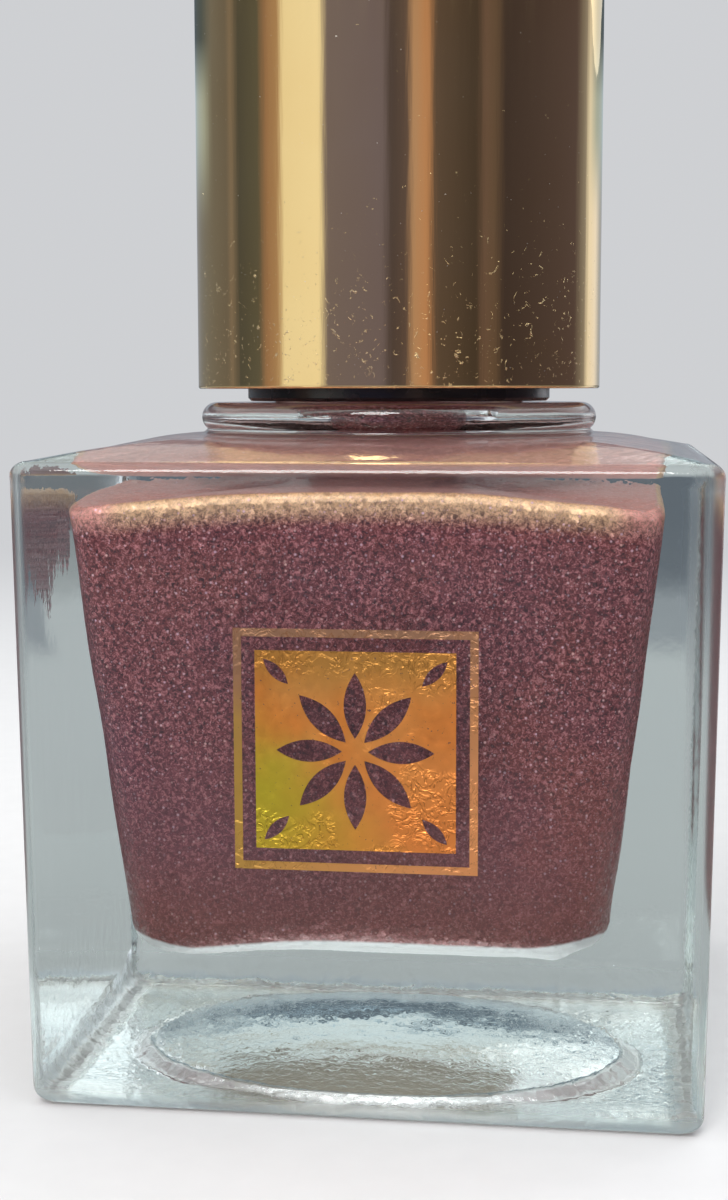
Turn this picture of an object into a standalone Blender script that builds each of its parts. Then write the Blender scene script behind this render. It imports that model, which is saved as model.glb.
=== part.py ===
"""Square glass nail polish bottle with a screw closure, a brush and a mirror-gold overcap.

Sizes below are in millimetres and meshes are made in metres. +Z is up, -Y is the front, and the
origin is the centre of the base. Every piece is one closed mesh in its own named object.
"""

import math

import bmesh
import bpy
from mathutils import Vector

MM = 0.001
GAP = 0.3  # clearance between neighbouring pieces
SHARP_ANGLE = 40  # edges steeper than this, in degrees, are shaded sharp

# Glass body: a square block that widens slightly upwards, under a low domed shoulder
BODY_HEIGHT = 28.4
BODY_HALF_BASE = 14.65
BODY_HALF_TOP = 15.0
BODY_CORNER = 0.9
BASE_EDGE = 0.8
TOP_EDGE = 0.6
SHOULDER_RISE = 0.9
PUNT_RADIUS = 11.2
PUNT_WALL_RADIUS = 10.5  # the push-up is a low dome inside a short steep wall
PUNT_WALL = 0.85
PUNT_RISE = 1.2

# Round collar and 13 mm threaded neck
COLLAR_RADIUS = 9.6
COLLAR_TOP = 30.8
COLLAR_FOOT_RADIUS = 9.55
COLLAR_BEAD = 0.7  # the collar's side is rounded like a bead
COLLAR_BEAD_START = -52
NECK_RADIUS = 5.75
NECK_TOP = 42.0
BORE_RADIUS = 3.3
LIP_EDGE = 0.4
THREAD_RADIUS = 6.45
THREAD_LEAD = 2.12
THREAD_TURNS = 1.6
THREAD_START = 33.6
THREAD_CREST = 0.35
THREAD_FOOT = 0.75
THREAD_RUN_OUT = 0.08  # share of a turn over which the thread fades at its ends
THREAD_ROWS = 20
NECK_FILLET = 0.3

# Hollow that holds the lacquer: an inverted square taper with a soft bottom edge
CAVITY_FLOOR = 6.2
CAVITY_HALF_BOTTOM = 10.8
CAVITY_HALF_TOP = 12.8
CAVITY_CORNER_BOTTOM = 2.8
CAVITY_CORNER_TOP = 1.8
CAVITY_BOTTOM_EDGE = 1.7
CAVITY_TOP_EDGE = 0.4
CEILING_MIDDLE = 27.15
CEILING_CORNER_DROP = 0.75
THROAT_HEIGHT = 28.9
THROAT_FLARE = 1.2
THROAT_FLARE_DROP = 0.8
BRUSH_WAY_CLEARANCE = 0.45
BRUSH_WAY_BELOW_TIP = 0.9

# Foil print on the front face
FOIL_CENTRE_X = -0.1
FOIL_CENTRE_Z = 16.3
FOIL_FRAME_SIDE = 10.35
FOIL_FRAME_STROKE = 0.35
FOIL_PANEL_SIDE = 8.5
FOIL_THICKNESS = 0.06
FOIL_LIFT = 0.04
PETALS = 8
PETAL_INNER = 0.55
PETAL_OUTER = 3.35
PETAL_WIDTH = 0.95
CORNER_LEAF_CENTRE = 4.75
CORNER_LEAF_LENGTH = 1.5
CORNER_LEAF_WIDTH = 0.5

# Cap: gold shell, plastic sleeve and threaded inner cap
SHELL_RADIUS = 9.75
SHELL_WALL = 0.5
SHELL_BOTTOM = 31.45
SHELL_TOP = 72.5
SHELL_TOP_EDGE = 0.5
SHELL_RIM_EDGE = 0.2
SHELL_INNER_RING = 3.0  # radius of the innermost ring on the flat ends of the shell
SLEEVE_WALL = 0.9
SLEEVE_BOTTOM = 32.3
SLEEVE_RIB_TOP = 45.2
SLEEVE_RIBS = 12
SLEEVE_RIB_TAPER = 0.4
SLEEVE_INNER_RING = 2.0
SLEEVE_STEPS_PER_RIB = 6
INNER_CAP_RADIUS = 7.35
INNER_CAP_BORE = 6.8
INNER_CAP_BOTTOM = 31.1
INNER_CAP_ROOF = 44.3
INNER_CAP_TOP = 45.5
INNER_CAP_TOP_TAPER = 0.4
KNURL_BOTTOM = 36.0
KNURL_DEPTH = 0.15
KNURLS = 16
KNURL_LEAD_IN = 0.3
STEPS_PER_KNURL = 4
SOCKET_RADIUS = 3.0
SOCKET_TOP = 48.6
LINER_RADIUS = 5.6
LINER_THICKNESS = 0.8

# Brush
STEM_RADIUS = 2.0
STEM_TIP_RADIUS = 1.8
STEM_BOTTOM = 22.5
STEM_TAPER_TOP = 30.5
STEM_TIP_CHAMFER = 0.2
STEM_SPIGOT_RADIUS = 1.5
STEM_FLANGE_RADIUS = 4.2
STEM_FLANGE_BOTTOM = 43.4
STEM_FLANGE_TOP = 44.0
STEM_TOP = 48.2
TUFT_SOCKET_RADIUS = 1.35
TUFT_SOCKET_TOP = 26.9
TUFT_ROOT_RADIUS = 1.0
TUFT_ROOT_TOP = 25.4
TUFT_BELLY_RADIUS = 1.7
TUFT_BELLY_HEIGHT = 13.5
TUFT_TIP = 8.9
TUFT_TIP_RADIUS = 0.4
STAPLE_LENGTH = 1.9
STAPLE_THICKNESS = 0.45
STAPLE_BEVEL = 0.08

# Mixing balls, one in front of the brush and one behind it
BALL_RADIUS = 2.25
BALL_Y = 5.5
BALL_TRACK_HALF = 4.8  # how far a ball's centre rolls to each side of the middle
BALL_FRONT_X = 2.6
BALL_BACK_X = -3.4
BALL_REST_GAP = 0.1

ROUND_STEPS = 56
BORE_STEPS = 32
LINER_STEPS = 40
TUFT_STEPS = 24


# ---------------------------------------------------------------- scene and mesh helpers


def clear_scene():
    for thing in list(bpy.data.objects):
        bpy.data.objects.remove(thing)


def material(name, colour, roughness, metallic=0.0, transmission=0.0):
    made = bpy.data.materials.new(name)
    made.use_nodes = True
    shader = made.node_tree.nodes["Principled BSDF"]
    shader.inputs["Base Color"].default_value = (*colour, 1.0)
    shader.inputs["Roughness"].default_value = roughness
    shader.inputs["Metallic"].default_value = metallic
    shader.inputs["Transmission Weight"].default_value = transmission
    return made


def finish_object(name, bm, finish, origin=(0, 0, 0), parent=None):
    """Turns a bmesh in millimetres and world places into an object whose origin is at `origin`."""
    bmesh.ops.translate(bm, verts=bm.verts, vec=-Vector(origin))
    bmesh.ops.scale(bm, verts=bm.verts, vec=(MM, MM, MM))
    bmesh.ops.recalc_face_normals(bm, faces=bm.faces)
    mesh = bpy.data.meshes.new(name)
    bm.to_mesh(mesh)
    bm.free()
    mesh.shade_smooth()
    mesh.set_sharp_from_angle(angle=math.radians(SHARP_ANGLE))
    mesh.materials.append(finish)
    made = bpy.data.objects.new(name, mesh)
    bpy.context.scene.collection.objects.link(made)
    made.location = Vector(origin) * MM
    if parent is not None:
        made.parent = parent
        made.location -= parent.matrix_world.translation
    return made


def axis_empty(name, height, parent=None):
    """An empty on the vertical axis of a joint, at `height` millimetres."""
    made = bpy.data.objects.new(name, None)
    bpy.context.scene.collection.objects.link(made)
    made.location = (0, 0, height * MM)
    if parent is not None:
        made.parent = parent
        made.location -= parent.matrix_world.translation
    bpy.context.view_layer.update()
    return made


def loft(rings, ring_closed=False):
    """A skin over a stack of rings with equal counts, capped flat at both ends or joined end to end."""
    bm = bmesh.new()
    loops = [[bm.verts.new(point) for point in ring] for ring in rings]
    pairs = list(zip(loops, loops[1:]))
    if ring_closed:
        pairs.append((loops[-1], loops[0]))
    for low, high in pairs:
        for i in range(len(low)):
            j = (i + 1) % len(low)
            bm.faces.new((low[i], low[j], high[j], high[i]))
    if not ring_closed:
        bm.faces.new(loops[0][::-1])
        bm.faces.new(loops[-1])
    return bm


def circle(radius, height, steps=ROUND_STEPS):
    return [
        (radius * math.cos(turn), radius * math.sin(turn), height)
        for turn in (2 * math.pi * i / steps for i in range(steps))
    ]


def turned(profile, steps=ROUND_STEPS, ring_closed=False):
    """A turned solid from (radius, height) points; `ring_closed` makes a ring open on the axis."""
    return loft([circle(radius, height, steps) for radius, height in profile], ring_closed)


def arc(centre, radius, start, end, steps):
    """(radius, height) points of a round edge, angles in degrees from outwards to up."""
    turns = [math.radians(start + (end - start) * i / steps) for i in range(steps + 1)]
    return [
        (centre[0] + radius * math.cos(turn), centre[1] + radius * math.sin(turn))
        for turn in turns
    ]


def prism(outline, near, far, place):
    """A closed prism of a 2-D outline between two depths; `place` maps (u, v, depth) to the world."""
    return loft([[place(u, v, depth) for u, v in outline] for depth in (near, far)])


def joined(parts):
    """Several separate closed shapes as one bmesh."""
    whole = bmesh.new()
    for part in parts:
        holder = bpy.data.meshes.new("holder")
        part.to_mesh(holder)
        part.free()
        whole.from_mesh(holder)
        bpy.data.meshes.remove(holder)
    return whole


def cut(target, name, bm):
    """Subtracts a cutter from `target` with an exact boolean."""
    cutter = finish_object(name, bm, target.data.materials[0])
    cutter.hide_render = True
    cutter.display_type = "WIRE"
    modifier = target.modifiers.new(name, "BOOLEAN")
    modifier.operation = "DIFFERENCE"
    modifier.object = cutter


# ---------------------------------------------------------------- rounded squares


def ring_angles():
    """Directions round a ring: even along the flat sides, with extra ones at the rounded corners."""
    corner = math.degrees(math.atan2(BODY_HALF_TOP - BODY_CORNER, BODY_HALF_TOP))
    octant = [0, 10, 20, 30, 37.5, corner, (corner + 45) / 2]
    quadrant = octant + [45] + [90 - turn for turn in reversed(octant[1:])]
    return [math.radians(90 * side + turn) for side in range(4) for turn in quadrant]


ANGLES = ring_angles()


def square_radius(turn, half, corner):
    """Distance from the axis to a rounded square, in the direction `turn`."""
    fold = turn % (math.pi / 2)
    fold = min(fold, math.pi / 2 - fold)
    flat = half - corner
    if half * math.tan(fold) <= flat:
        return half / math.cos(fold)
    along = flat * (math.cos(fold) + math.sin(fold))
    return along + math.sqrt(max(along**2 - 2 * flat**2 + corner**2, 0))


def square_ring(half, corner, height):
    """A ring on a rounded square; `height` is a number or a function of the direction."""
    points = []
    for turn in ANGLES:
        radius = square_radius(turn, half, corner)
        level = height(turn) if callable(height) else height
        points.append((radius * math.cos(turn), radius * math.sin(turn), level))
    return points


def round_ring(radius, height):
    return square_ring(radius, radius, height)


def mixed_ring(first, second, share):
    """A ring between two others: `share` 0 is the first, 1 is the second."""
    return [tuple(Vector(a).lerp(Vector(b), share)) for a, b in zip(first, second)]


# ---------------------------------------------------------------- glass and lacquer


def body_half(height):
    """Half the width of the glass block at a height."""
    return BODY_HALF_BASE + (BODY_HALF_TOP - BODY_HALF_BASE) * height / BODY_HEIGHT


def base_rings():
    rings = []
    for share in (0.3, 0.7, 1.0):
        dome = (PUNT_RISE - PUNT_WALL) * (1 - share**2)
        rings.append(round_ring(PUNT_WALL_RADIUS * share, PUNT_WALL + dome))
    rings.append(round_ring(PUNT_RADIUS, 0))
    for inset, height in arc((BASE_EDGE, BASE_EDGE), BASE_EDGE, 270, 180, 3):
        rings.append(square_ring(BODY_HALF_BASE - inset, BODY_CORNER, height))
    return rings


def shoulder_rings():
    rings = []
    centre = (BODY_HALF_TOP - TOP_EDGE, BODY_HEIGHT - TOP_EDGE)
    for half, height in arc(centre, TOP_EDGE, 0, 90, 3):
        rings.append(square_ring(half, BODY_CORNER, height))
    foot = round_ring(COLLAR_FOOT_RADIUS, BODY_HEIGHT)
    for share in (0.33, 0.66, 1.0):
        rise = SHOULDER_RISE * math.sin(share * math.pi / 2)
        rings.append([(x, y, z + rise) for x, y, z in mixed_ring(rings[3], foot, share)])
    return rings


def thread_height(turn, height):
    """How far the thread stands out of the neck at a direction and height."""
    best = 0.0
    for wrap in range(math.ceil(THREAD_TURNS) + 1):
        turns = turn / (2 * math.pi) + wrap
        run_out = min(turns, THREAD_TURNS - turns) / THREAD_RUN_OUT
        if run_out <= 0:
            continue
        away = abs(height - THREAD_START - THREAD_LEAD * turns)
        flank = (THREAD_FOOT - away) / (THREAD_FOOT - THREAD_CREST)
        best = max(best, min(flank, run_out, 1.0))
    return best * (THREAD_RADIUS - NECK_RADIUS)


def neck_rings():
    bead = (COLLAR_RADIUS - COLLAR_BEAD, COLLAR_TOP - COLLAR_BEAD)
    rings = [round_ring(r, z) for r, z in arc(bead, COLLAR_BEAD, COLLAR_BEAD_START, 90, 6)]
    rings.append(round_ring(NECK_RADIUS + NECK_FILLET, COLLAR_TOP))
    low = THREAD_START - THREAD_FOOT
    high = THREAD_START + THREAD_TURNS * THREAD_LEAD + THREAD_FOOT
    for row in range(THREAD_ROWS + 1):
        height = low + (high - low) * row / THREAD_ROWS
        ring = []
        for turn in ANGLES:
            radius = NECK_RADIUS + thread_height(turn, height)
            ring.append((radius * math.cos(turn), radius * math.sin(turn), height))
        rings.append(ring)
    lip = (NECK_RADIUS - LIP_EDGE, NECK_TOP - LIP_EDGE)
    rings += [round_ring(r, z) for r, z in arc(lip, LIP_EDGE, 0, 90, 2)]
    rings.append(round_ring(BORE_RADIUS + LIP_EDGE, NECK_TOP))
    rings.append(round_ring(BORE_RADIUS, NECK_TOP - LIP_EDGE))
    return rings


def ceiling_height(turn):
    """The hollow's upper edge arches: it drops from the middle of each side to the corners."""
    fold = turn % (math.pi / 2)
    along = math.tan(min(fold, math.pi / 2 - fold))
    return CEILING_MIDDLE - CEILING_CORNER_DROP * along**2


def cavity_rings(gap):
    """Rings from the throat down to the floor of the hollow, `gap` inside its walls."""
    throat = round_ring(BORE_RADIUS - gap, THROAT_HEIGHT)
    flare = round_ring(BORE_RADIUS + THROAT_FLARE - gap, THROAT_HEIGHT - THROAT_FLARE_DROP - gap)
    half = CAVITY_HALF_TOP - CAVITY_TOP_EDGE - gap
    rim = square_ring(half, CAVITY_CORNER_TOP, lambda turn: ceiling_height(turn) - gap)
    rings = [throat, flare, mixed_ring(flare, rim, 0.5), rim]
    slope = CAVITY_HALF_TOP - CAVITY_HALF_BOTTOM
    rings.append(
        square_ring(
            CAVITY_HALF_TOP - gap,
            CAVITY_CORNER_TOP,
            lambda turn: ceiling_height(turn) - gap - CAVITY_TOP_EDGE,
        )
    )
    middle = (CAVITY_FLOOR + CEILING_MIDDLE) / 2
    corner = (CAVITY_CORNER_TOP + CAVITY_CORNER_BOTTOM) / 2
    rings.append(square_ring(CAVITY_HALF_BOTTOM + slope / 2 - gap, corner, middle))
    edge = (CAVITY_HALF_BOTTOM - CAVITY_BOTTOM_EDGE, CAVITY_FLOOR + CAVITY_BOTTOM_EDGE)
    for outward, height in arc(edge, CAVITY_BOTTOM_EDGE - gap, 360, 270, 4):
        rings.append(square_ring(outward, CAVITY_CORNER_BOTTOM, height))
    return rings


def glass_bottle():
    glass = material("clear_glass", (0.93, 0.97, 0.96), 0.02, transmission=1.0)
    rings = base_rings() + shoulder_rings() + neck_rings() + cavity_rings(0)
    return finish_object("glass_bottle", loft(rings), glass)


def stadium(half_length, half_width, steps=6):
    """Outline of a slot with round ends."""
    outline = []
    for side, start in ((1, -90), (-1, 90)):
        for i in range(steps + 1):
            turn = math.radians(start + 180 * i / steps)
            x = side * half_length + half_width * math.cos(turn)
            outline.append((x, half_width * math.sin(turn)))
    return outline


def lacquer_fill():
    lacquer = material("pearl_lacquer", (0.24, 0.11, 0.13), 0.35, metallic=0.3)
    fill = finish_object("lacquer_fill", loft(cavity_rings(GAP)), lacquer)
    way = STEM_RADIUS + BRUSH_WAY_CLEARANCE
    brush_way = turned([(way, TUFT_TIP - BRUSH_WAY_BELOW_TIP), (way, NECK_TOP)], BORE_STEPS)
    cut(fill, "cutter_brush_way", brush_way)
    track = stadium(BALL_TRACK_HALF, BALL_RADIUS + GAP)
    low, high = CAVITY_FLOOR - 1, CAVITY_FLOOR + 2 * (BALL_RADIUS + GAP)
    tracks = [
        prism(track, low, high, lambda u, v, depth, y=y: (u, v + y, depth))
        for y in (-BALL_Y, BALL_Y)
    ]
    cut(fill, "cutter_ball_tracks", joined(tracks))
    return fill


def mixing_ball(name, x, y):
    steel = material(name + "_steel", (0.62, 0.62, 0.63), 0.2, metallic=1.0)
    centre = (x, y, CAVITY_FLOOR + BALL_RADIUS + BALL_REST_GAP)
    bm = bmesh.new()
    bmesh.ops.create_uvsphere(bm, u_segments=20, v_segments=12, radius=BALL_RADIUS)
    bmesh.ops.translate(bm, verts=bm.verts, vec=centre)
    return finish_object(name, bm, steel, origin=centre)


# ---------------------------------------------------------------- foil print


def on_front(u, v, depth):
    """A point on the sloping front face: u to the right, v up, depth out of the glass."""
    height = FOIL_CENTRE_Z + v
    return (FOIL_CENTRE_X + u, -(body_half(height) + FOIL_LIFT + depth), height)


def square_outline(side):
    half = side / 2
    return [(-half, -half), (half, -half), (half, half), (-half, half)]


def leaf(centre, turn, length, width, steps=6):
    """A pointed leaf outline with round sides, lying along the direction `turn`."""
    sides = []
    for side in (1, -1):
        for i in range(steps):
            along = -side * (i / steps - 0.5)
            across = side * width / 2 * (1 - (2 * along) ** 2)
            sides.append((along * length, across))
    cos, sin = math.cos(turn), math.sin(turn)
    return [(centre[0] + a * cos - b * sin, centre[1] + a * sin + b * cos) for a, b in sides]


def rosette_leaves():
    """Eight leaves round the middle of the panel and one in each of its corners."""
    leaves = []
    length = PETAL_OUTER - PETAL_INNER
    reach = (PETAL_OUTER + PETAL_INNER) / 2
    for i in range(PETALS):
        turn = 2 * math.pi * i / PETALS
        centre = (reach * math.cos(turn), reach * math.sin(turn))
        leaves.append(leaf(centre, turn, length, PETAL_WIDTH))
    for i in range(4):
        turn = math.pi / 4 + math.pi / 2 * i
        centre = (CORNER_LEAF_CENTRE * math.cos(turn), CORNER_LEAF_CENTRE * math.sin(turn))
        leaves.append(leaf(centre, turn, CORNER_LEAF_LENGTH, CORNER_LEAF_WIDTH))
    return leaves


def foil_frame():
    foil = material("frame_foil", (0.62, 0.36, 0.22), 0.25, metallic=1.0)
    outer, inner = (
        square_outline(side)
        for side in (FOIL_FRAME_SIDE, FOIL_FRAME_SIDE - 2 * FOIL_FRAME_STROKE)
    )
    rings = [
        [on_front(u, v, depth) for u, v in outline]
        for outline, depth in (
            (outer, 0),
            (outer, FOIL_THICKNESS),
            (inner, FOIL_THICKNESS),
            (inner, 0),
        )
    ]
    return finish_object("foil_frame", loft(rings, ring_closed=True), foil)


def foil_panel():
    foil = material("panel_foil", (0.83, 0.46, 0.16), 0.25, metallic=1.0)
    plate = prism(square_outline(FOIL_PANEL_SIDE), 0, FOIL_THICKNESS, on_front)
    panel = finish_object("foil_panel", plate, foil)
    cutters = [prism(outline, -1, 1, on_front) for outline in rosette_leaves()]
    cut(panel, "cutter_rosette", joined(cutters))
    return panel


# ---------------------------------------------------------------- cap


def overcap_shell(turn_axis):
    gold = material("mirror_gold", (0.83, 0.62, 0.27), 0.06, metallic=1.0)
    inside = SHELL_RADIUS - SHELL_WALL
    top_edge = (SHELL_RADIUS - SHELL_TOP_EDGE, SHELL_TOP - SHELL_TOP_EDGE)
    rim_edge = (SHELL_RADIUS - SHELL_RIM_EDGE, SHELL_BOTTOM + SHELL_RIM_EDGE)
    roof = SHELL_TOP - SHELL_WALL
    profile = [(SHELL_INNER_RING, roof), (inside, roof), (inside, SHELL_BOTTOM)]
    profile += arc(rim_edge, SHELL_RIM_EDGE, -90, 0, 2)
    profile += arc(top_edge, SHELL_TOP_EDGE, 0, 90, 3)
    profile.append((SHELL_INNER_RING, SHELL_TOP))
    return finish_object("overcap_shell", turned(profile), gold, parent=turn_axis)


def overcap_sleeve(turn_axis):
    plastic = material("sleeve_plastic", (0.8, 0.79, 0.76), 0.5)
    outer = SHELL_RADIUS - SHELL_WALL - GAP
    inner = outer - SLEEVE_WALL
    rib = INNER_CAP_RADIUS + KNURL_DEPTH + GAP
    top = SHELL_TOP - SHELL_WALL - GAP
    steps = SLEEVE_RIBS * SLEEVE_STEPS_PER_RIB

    def ribbed(height):
        """A ring whose radius steps in at each rib."""
        radii = [rib if i % SLEEVE_STEPS_PER_RIB in (0, 1) else inner for i in range(steps)]
        return [
            (radius * x, radius * y, height)
            for radius, (x, y, _) in zip(radii, circle(1, 0, steps))
        ]

    roof = top - SLEEVE_WALL
    rings = [circle(SLEEVE_INNER_RING, top, steps), circle(outer, top, steps)]
    rings += [circle(outer, SLEEVE_BOTTOM, steps), ribbed(SLEEVE_BOTTOM), ribbed(SLEEVE_RIB_TOP)]
    rings += [circle(inner, SLEEVE_RIB_TOP + SLEEVE_RIB_TAPER, steps)]
    rings += [circle(inner, roof, steps), circle(SLEEVE_INNER_RING, roof, steps)]
    return finish_object("overcap_sleeve", loft(rings), plastic, parent=turn_axis)


def inner_cap(turn_axis):
    plastic = material("black_plastic", (0.02, 0.018, 0.02), 0.3)
    steps = KNURLS * STEPS_PER_KNURL

    def knurled(height):
        """A ring with every other pair of points standing out."""
        ring = []
        for i, (x, y, _) in enumerate(circle(1, 0, steps)):
            radius = INNER_CAP_RADIUS + KNURL_DEPTH * (i % STEPS_PER_KNURL in (0, 1))
            ring.append((radius * x, radius * y, height))
        return ring

    def plain(radius, height):
        return circle(radius, height, steps)

    spigot_hole = STEM_SPIGOT_RADIUS + GAP
    rings = [plain(INNER_CAP_BORE, INNER_CAP_BOTTOM), plain(INNER_CAP_RADIUS, INNER_CAP_BOTTOM)]
    rings += [plain(INNER_CAP_RADIUS, KNURL_BOTTOM - KNURL_LEAD_IN), knurled(KNURL_BOTTOM)]
    rings += [knurled(INNER_CAP_ROOF), plain(INNER_CAP_RADIUS - INNER_CAP_TOP_TAPER, INNER_CAP_TOP)]
    rings += [plain(SOCKET_RADIUS, INNER_CAP_TOP), plain(SOCKET_RADIUS, SOCKET_TOP)]
    rings += [plain(spigot_hole, SOCKET_TOP), plain(spigot_hole, INNER_CAP_ROOF)]
    rings += [plain(INNER_CAP_BORE, INNER_CAP_ROOF)]
    return finish_object("inner_cap", loft(rings, ring_closed=True), plastic, parent=turn_axis)


def sealing_liner(lift_axis):
    foam = material("liner_foam", (0.85, 0.85, 0.82), 0.7)
    hole = STEM_RADIUS + GAP
    low = NECK_TOP + GAP
    high = low + LINER_THICKNESS
    profile = [(hole, low), (LINER_RADIUS, low), (LINER_RADIUS, high), (hole, high)]
    return finish_object("sealing_liner", turned(profile, LINER_STEPS, True), foam, parent=lift_axis)


# ---------------------------------------------------------------- brush


def brush_stem(turn_axis):
    plastic = material("stem_plastic", (0.03, 0.028, 0.03), 0.35)
    profile = [
        (STEM_SPIGOT_RADIUS, STEM_TOP),
        (STEM_SPIGOT_RADIUS, STEM_FLANGE_TOP),
        (STEM_FLANGE_RADIUS, STEM_FLANGE_TOP),
        (STEM_FLANGE_RADIUS, STEM_FLANGE_BOTTOM),
        (STEM_RADIUS, STEM_FLANGE_BOTTOM),
        (STEM_RADIUS, STEM_TAPER_TOP),
        (STEM_TIP_RADIUS, STEM_BOTTOM + STEM_TIP_CHAMFER),
        (STEM_TIP_RADIUS - STEM_TIP_CHAMFER, STEM_BOTTOM),
        (TUFT_SOCKET_RADIUS, STEM_BOTTOM),
        (TUFT_SOCKET_RADIUS, TUFT_SOCKET_TOP),
    ]
    return finish_object("brush_stem", turned(profile, BORE_STEPS), plastic, parent=turn_axis)


def brush_tuft(turn_axis):
    bristle = material("bristle", (0.25, 0.14, 0.14), 0.45)
    profile = [(TUFT_ROOT_RADIUS, TUFT_ROOT_TOP), (TUFT_ROOT_RADIUS, STEM_BOTTOM)]
    for share in (0.35, 0.7, 1.0):
        spread = math.sin(share * math.pi / 2)
        radius = TUFT_ROOT_RADIUS + (TUFT_BELLY_RADIUS - TUFT_ROOT_RADIUS) * spread
        profile.append((radius, STEM_BOTTOM + (TUFT_BELLY_HEIGHT - STEM_BOTTOM) * share))
    for share in (0.5, 0.8, 1.0):
        spread = math.sqrt(1 - share**2)
        radius = TUFT_TIP_RADIUS + (TUFT_BELLY_RADIUS - TUFT_TIP_RADIUS) * spread
        profile.append((radius, TUFT_BELLY_HEIGHT + (TUFT_TIP - TUFT_BELLY_HEIGHT) * share))
    return finish_object("brush_tuft", turned(profile, TUFT_STEPS), bristle, parent=turn_axis)


def tuft_staple(turn_axis):
    brass = material("staple_brass", (0.75, 0.6, 0.3), 0.3, metallic=1.0)
    low = TUFT_ROOT_TOP + GAP
    bm = bmesh.new()
    bmesh.ops.create_cube(bm, size=1)
    size = (STAPLE_LENGTH, STAPLE_THICKNESS, STAPLE_THICKNESS)
    bmesh.ops.scale(bm, verts=bm.verts, vec=size)
    bmesh.ops.bevel(bm, geom=bm.edges, offset=STAPLE_BEVEL, segments=1, affect="EDGES")
    bmesh.ops.translate(bm, verts=bm.verts, vec=(0, 0, low + STAPLE_THICKNESS / 2))
    return finish_object("tuft_staple", bm, brass, parent=turn_axis)


def main():
    clear_scene()
    glass_bottle()
    lacquer_fill()
    mixing_ball("mixing_ball_front", BALL_FRONT_X, -BALL_Y)
    mixing_ball("mixing_ball_back", BALL_BACK_X, BALL_Y)
    foil_frame()
    foil_panel()
    lift_axis = axis_empty("cap_lift_axis", NECK_TOP)
    turn_axis = axis_empty("cap_turn_axis", NECK_TOP, lift_axis)
    sealing_liner(lift_axis)
    inner_cap(turn_axis)
    overcap_sleeve(turn_axis)
    overcap_shell(turn_axis)
    brush_stem(turn_axis)
    brush_tuft(turn_axis)
    tuft_staple(turn_axis)


main()
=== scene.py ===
"""The looks of a square glass nail polish bottle with a mirror-gold cap, built round its CAD frame.

Sizes are in millimetres and meshes are made in metres, in the frame's axes: +Z up, -Y the front.
"""

import math
import random
from functools import partial

import bmesh
import bpy
import numpy as np
from mathutils import Matrix, Vector, noise


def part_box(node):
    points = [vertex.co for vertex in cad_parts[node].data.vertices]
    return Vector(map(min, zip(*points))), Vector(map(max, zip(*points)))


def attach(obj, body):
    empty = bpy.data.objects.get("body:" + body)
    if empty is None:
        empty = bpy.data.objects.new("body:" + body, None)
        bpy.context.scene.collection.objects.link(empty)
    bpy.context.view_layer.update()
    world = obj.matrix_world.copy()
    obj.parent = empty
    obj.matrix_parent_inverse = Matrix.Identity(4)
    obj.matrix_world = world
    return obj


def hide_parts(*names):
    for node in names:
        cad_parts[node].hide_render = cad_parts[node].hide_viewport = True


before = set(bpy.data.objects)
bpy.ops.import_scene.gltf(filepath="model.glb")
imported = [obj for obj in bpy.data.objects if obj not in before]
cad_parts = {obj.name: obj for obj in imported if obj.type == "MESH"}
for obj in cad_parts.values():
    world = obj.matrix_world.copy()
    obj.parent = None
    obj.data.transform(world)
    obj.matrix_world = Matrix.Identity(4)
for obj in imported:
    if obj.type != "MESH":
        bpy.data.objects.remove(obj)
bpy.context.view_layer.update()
MM = 0.001


def cad_box(node):
    """A CAD node's lowest and highest corner in millimetres."""
    low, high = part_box(node)
    return low / MM, high / MM


# ---- sizes taken from the frame

GLASS_HIGH = cad_box("glass_bottle")[1]
FILL_LOW, FILL_HIGH = cad_box("lacquer_fill")
SHELL_LOW, SHELL_HIGH = cad_box("overcap_shell")
SLEEVE_LOW, SLEEVE_HIGH = cad_box("overcap_sleeve")
CLOSURE_HIGH = cad_box("inner_cap")[1]
LINER_LOW, LINER_HIGH = cad_box("sealing_liner")
STEM_LOW, STEM_HIGH = cad_box("brush_stem")
TUFT_LOW, TUFT_HIGH = cad_box("brush_tuft")
LINE_LOW, LINE_HIGH = cad_box("foil_frame")
PANEL_LOW, PANEL_HIGH = cad_box("foil_panel")

CAD_GAP = 0.3  # the clearance that the CAD keeps between neighbours

# Glass block, shoulder and base
BODY_HEIGHT = 28.4
BODY_HALF_TOP = GLASS_HIGH.x
BODY_HALF_BASE = BODY_HALF_TOP - 0.35  # the block widens slightly upwards
BODY_CORNER = 0.7
BASE_EDGE = 0.8
TOP_EDGE = 0.6
SHOULDER_RISE = 0.9
PUNT_RADIUS = 11.9
PUNT_WALL_RADIUS = 11.3  # the push-up is a low dome inside a short steep wall
PUNT_WALL = 0.45
PUNT_RISE = 1.2
WOBBLE_SEED = 1  # noise_vector starts from the clock unless it is seeded
PRESSED_WOBBLE = 0.05  # how far the pressed faces of the base and shoulder wander

# Collar, neck and thread
COLLAR_RADIUS = 9.6
COLLAR_FOOT = COLLAR_RADIUS + 0.2
COLLAR_TOP = 30.8
COLLAR_EDGE = 0.7
NECK_FILLET = 0.4
NECK_RADIUS = 5.75
NECK_TOP = GLASS_HIGH.z
BORE_RADIUS = 3.3
LIP_EDGE = 0.45
THREAD_HEIGHT = 0.7
THREAD_LEAD = 2.12
THREAD_TURNS = 1.6
THREAD_START = 33.6
THREAD_ROW = 0.08
THREAD_RUN_OUT = 0.09  # share of a turn over which the thread fades at its ends
THREAD_FOOT, THREAD_FLANK = 0.8, 0.5

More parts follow.
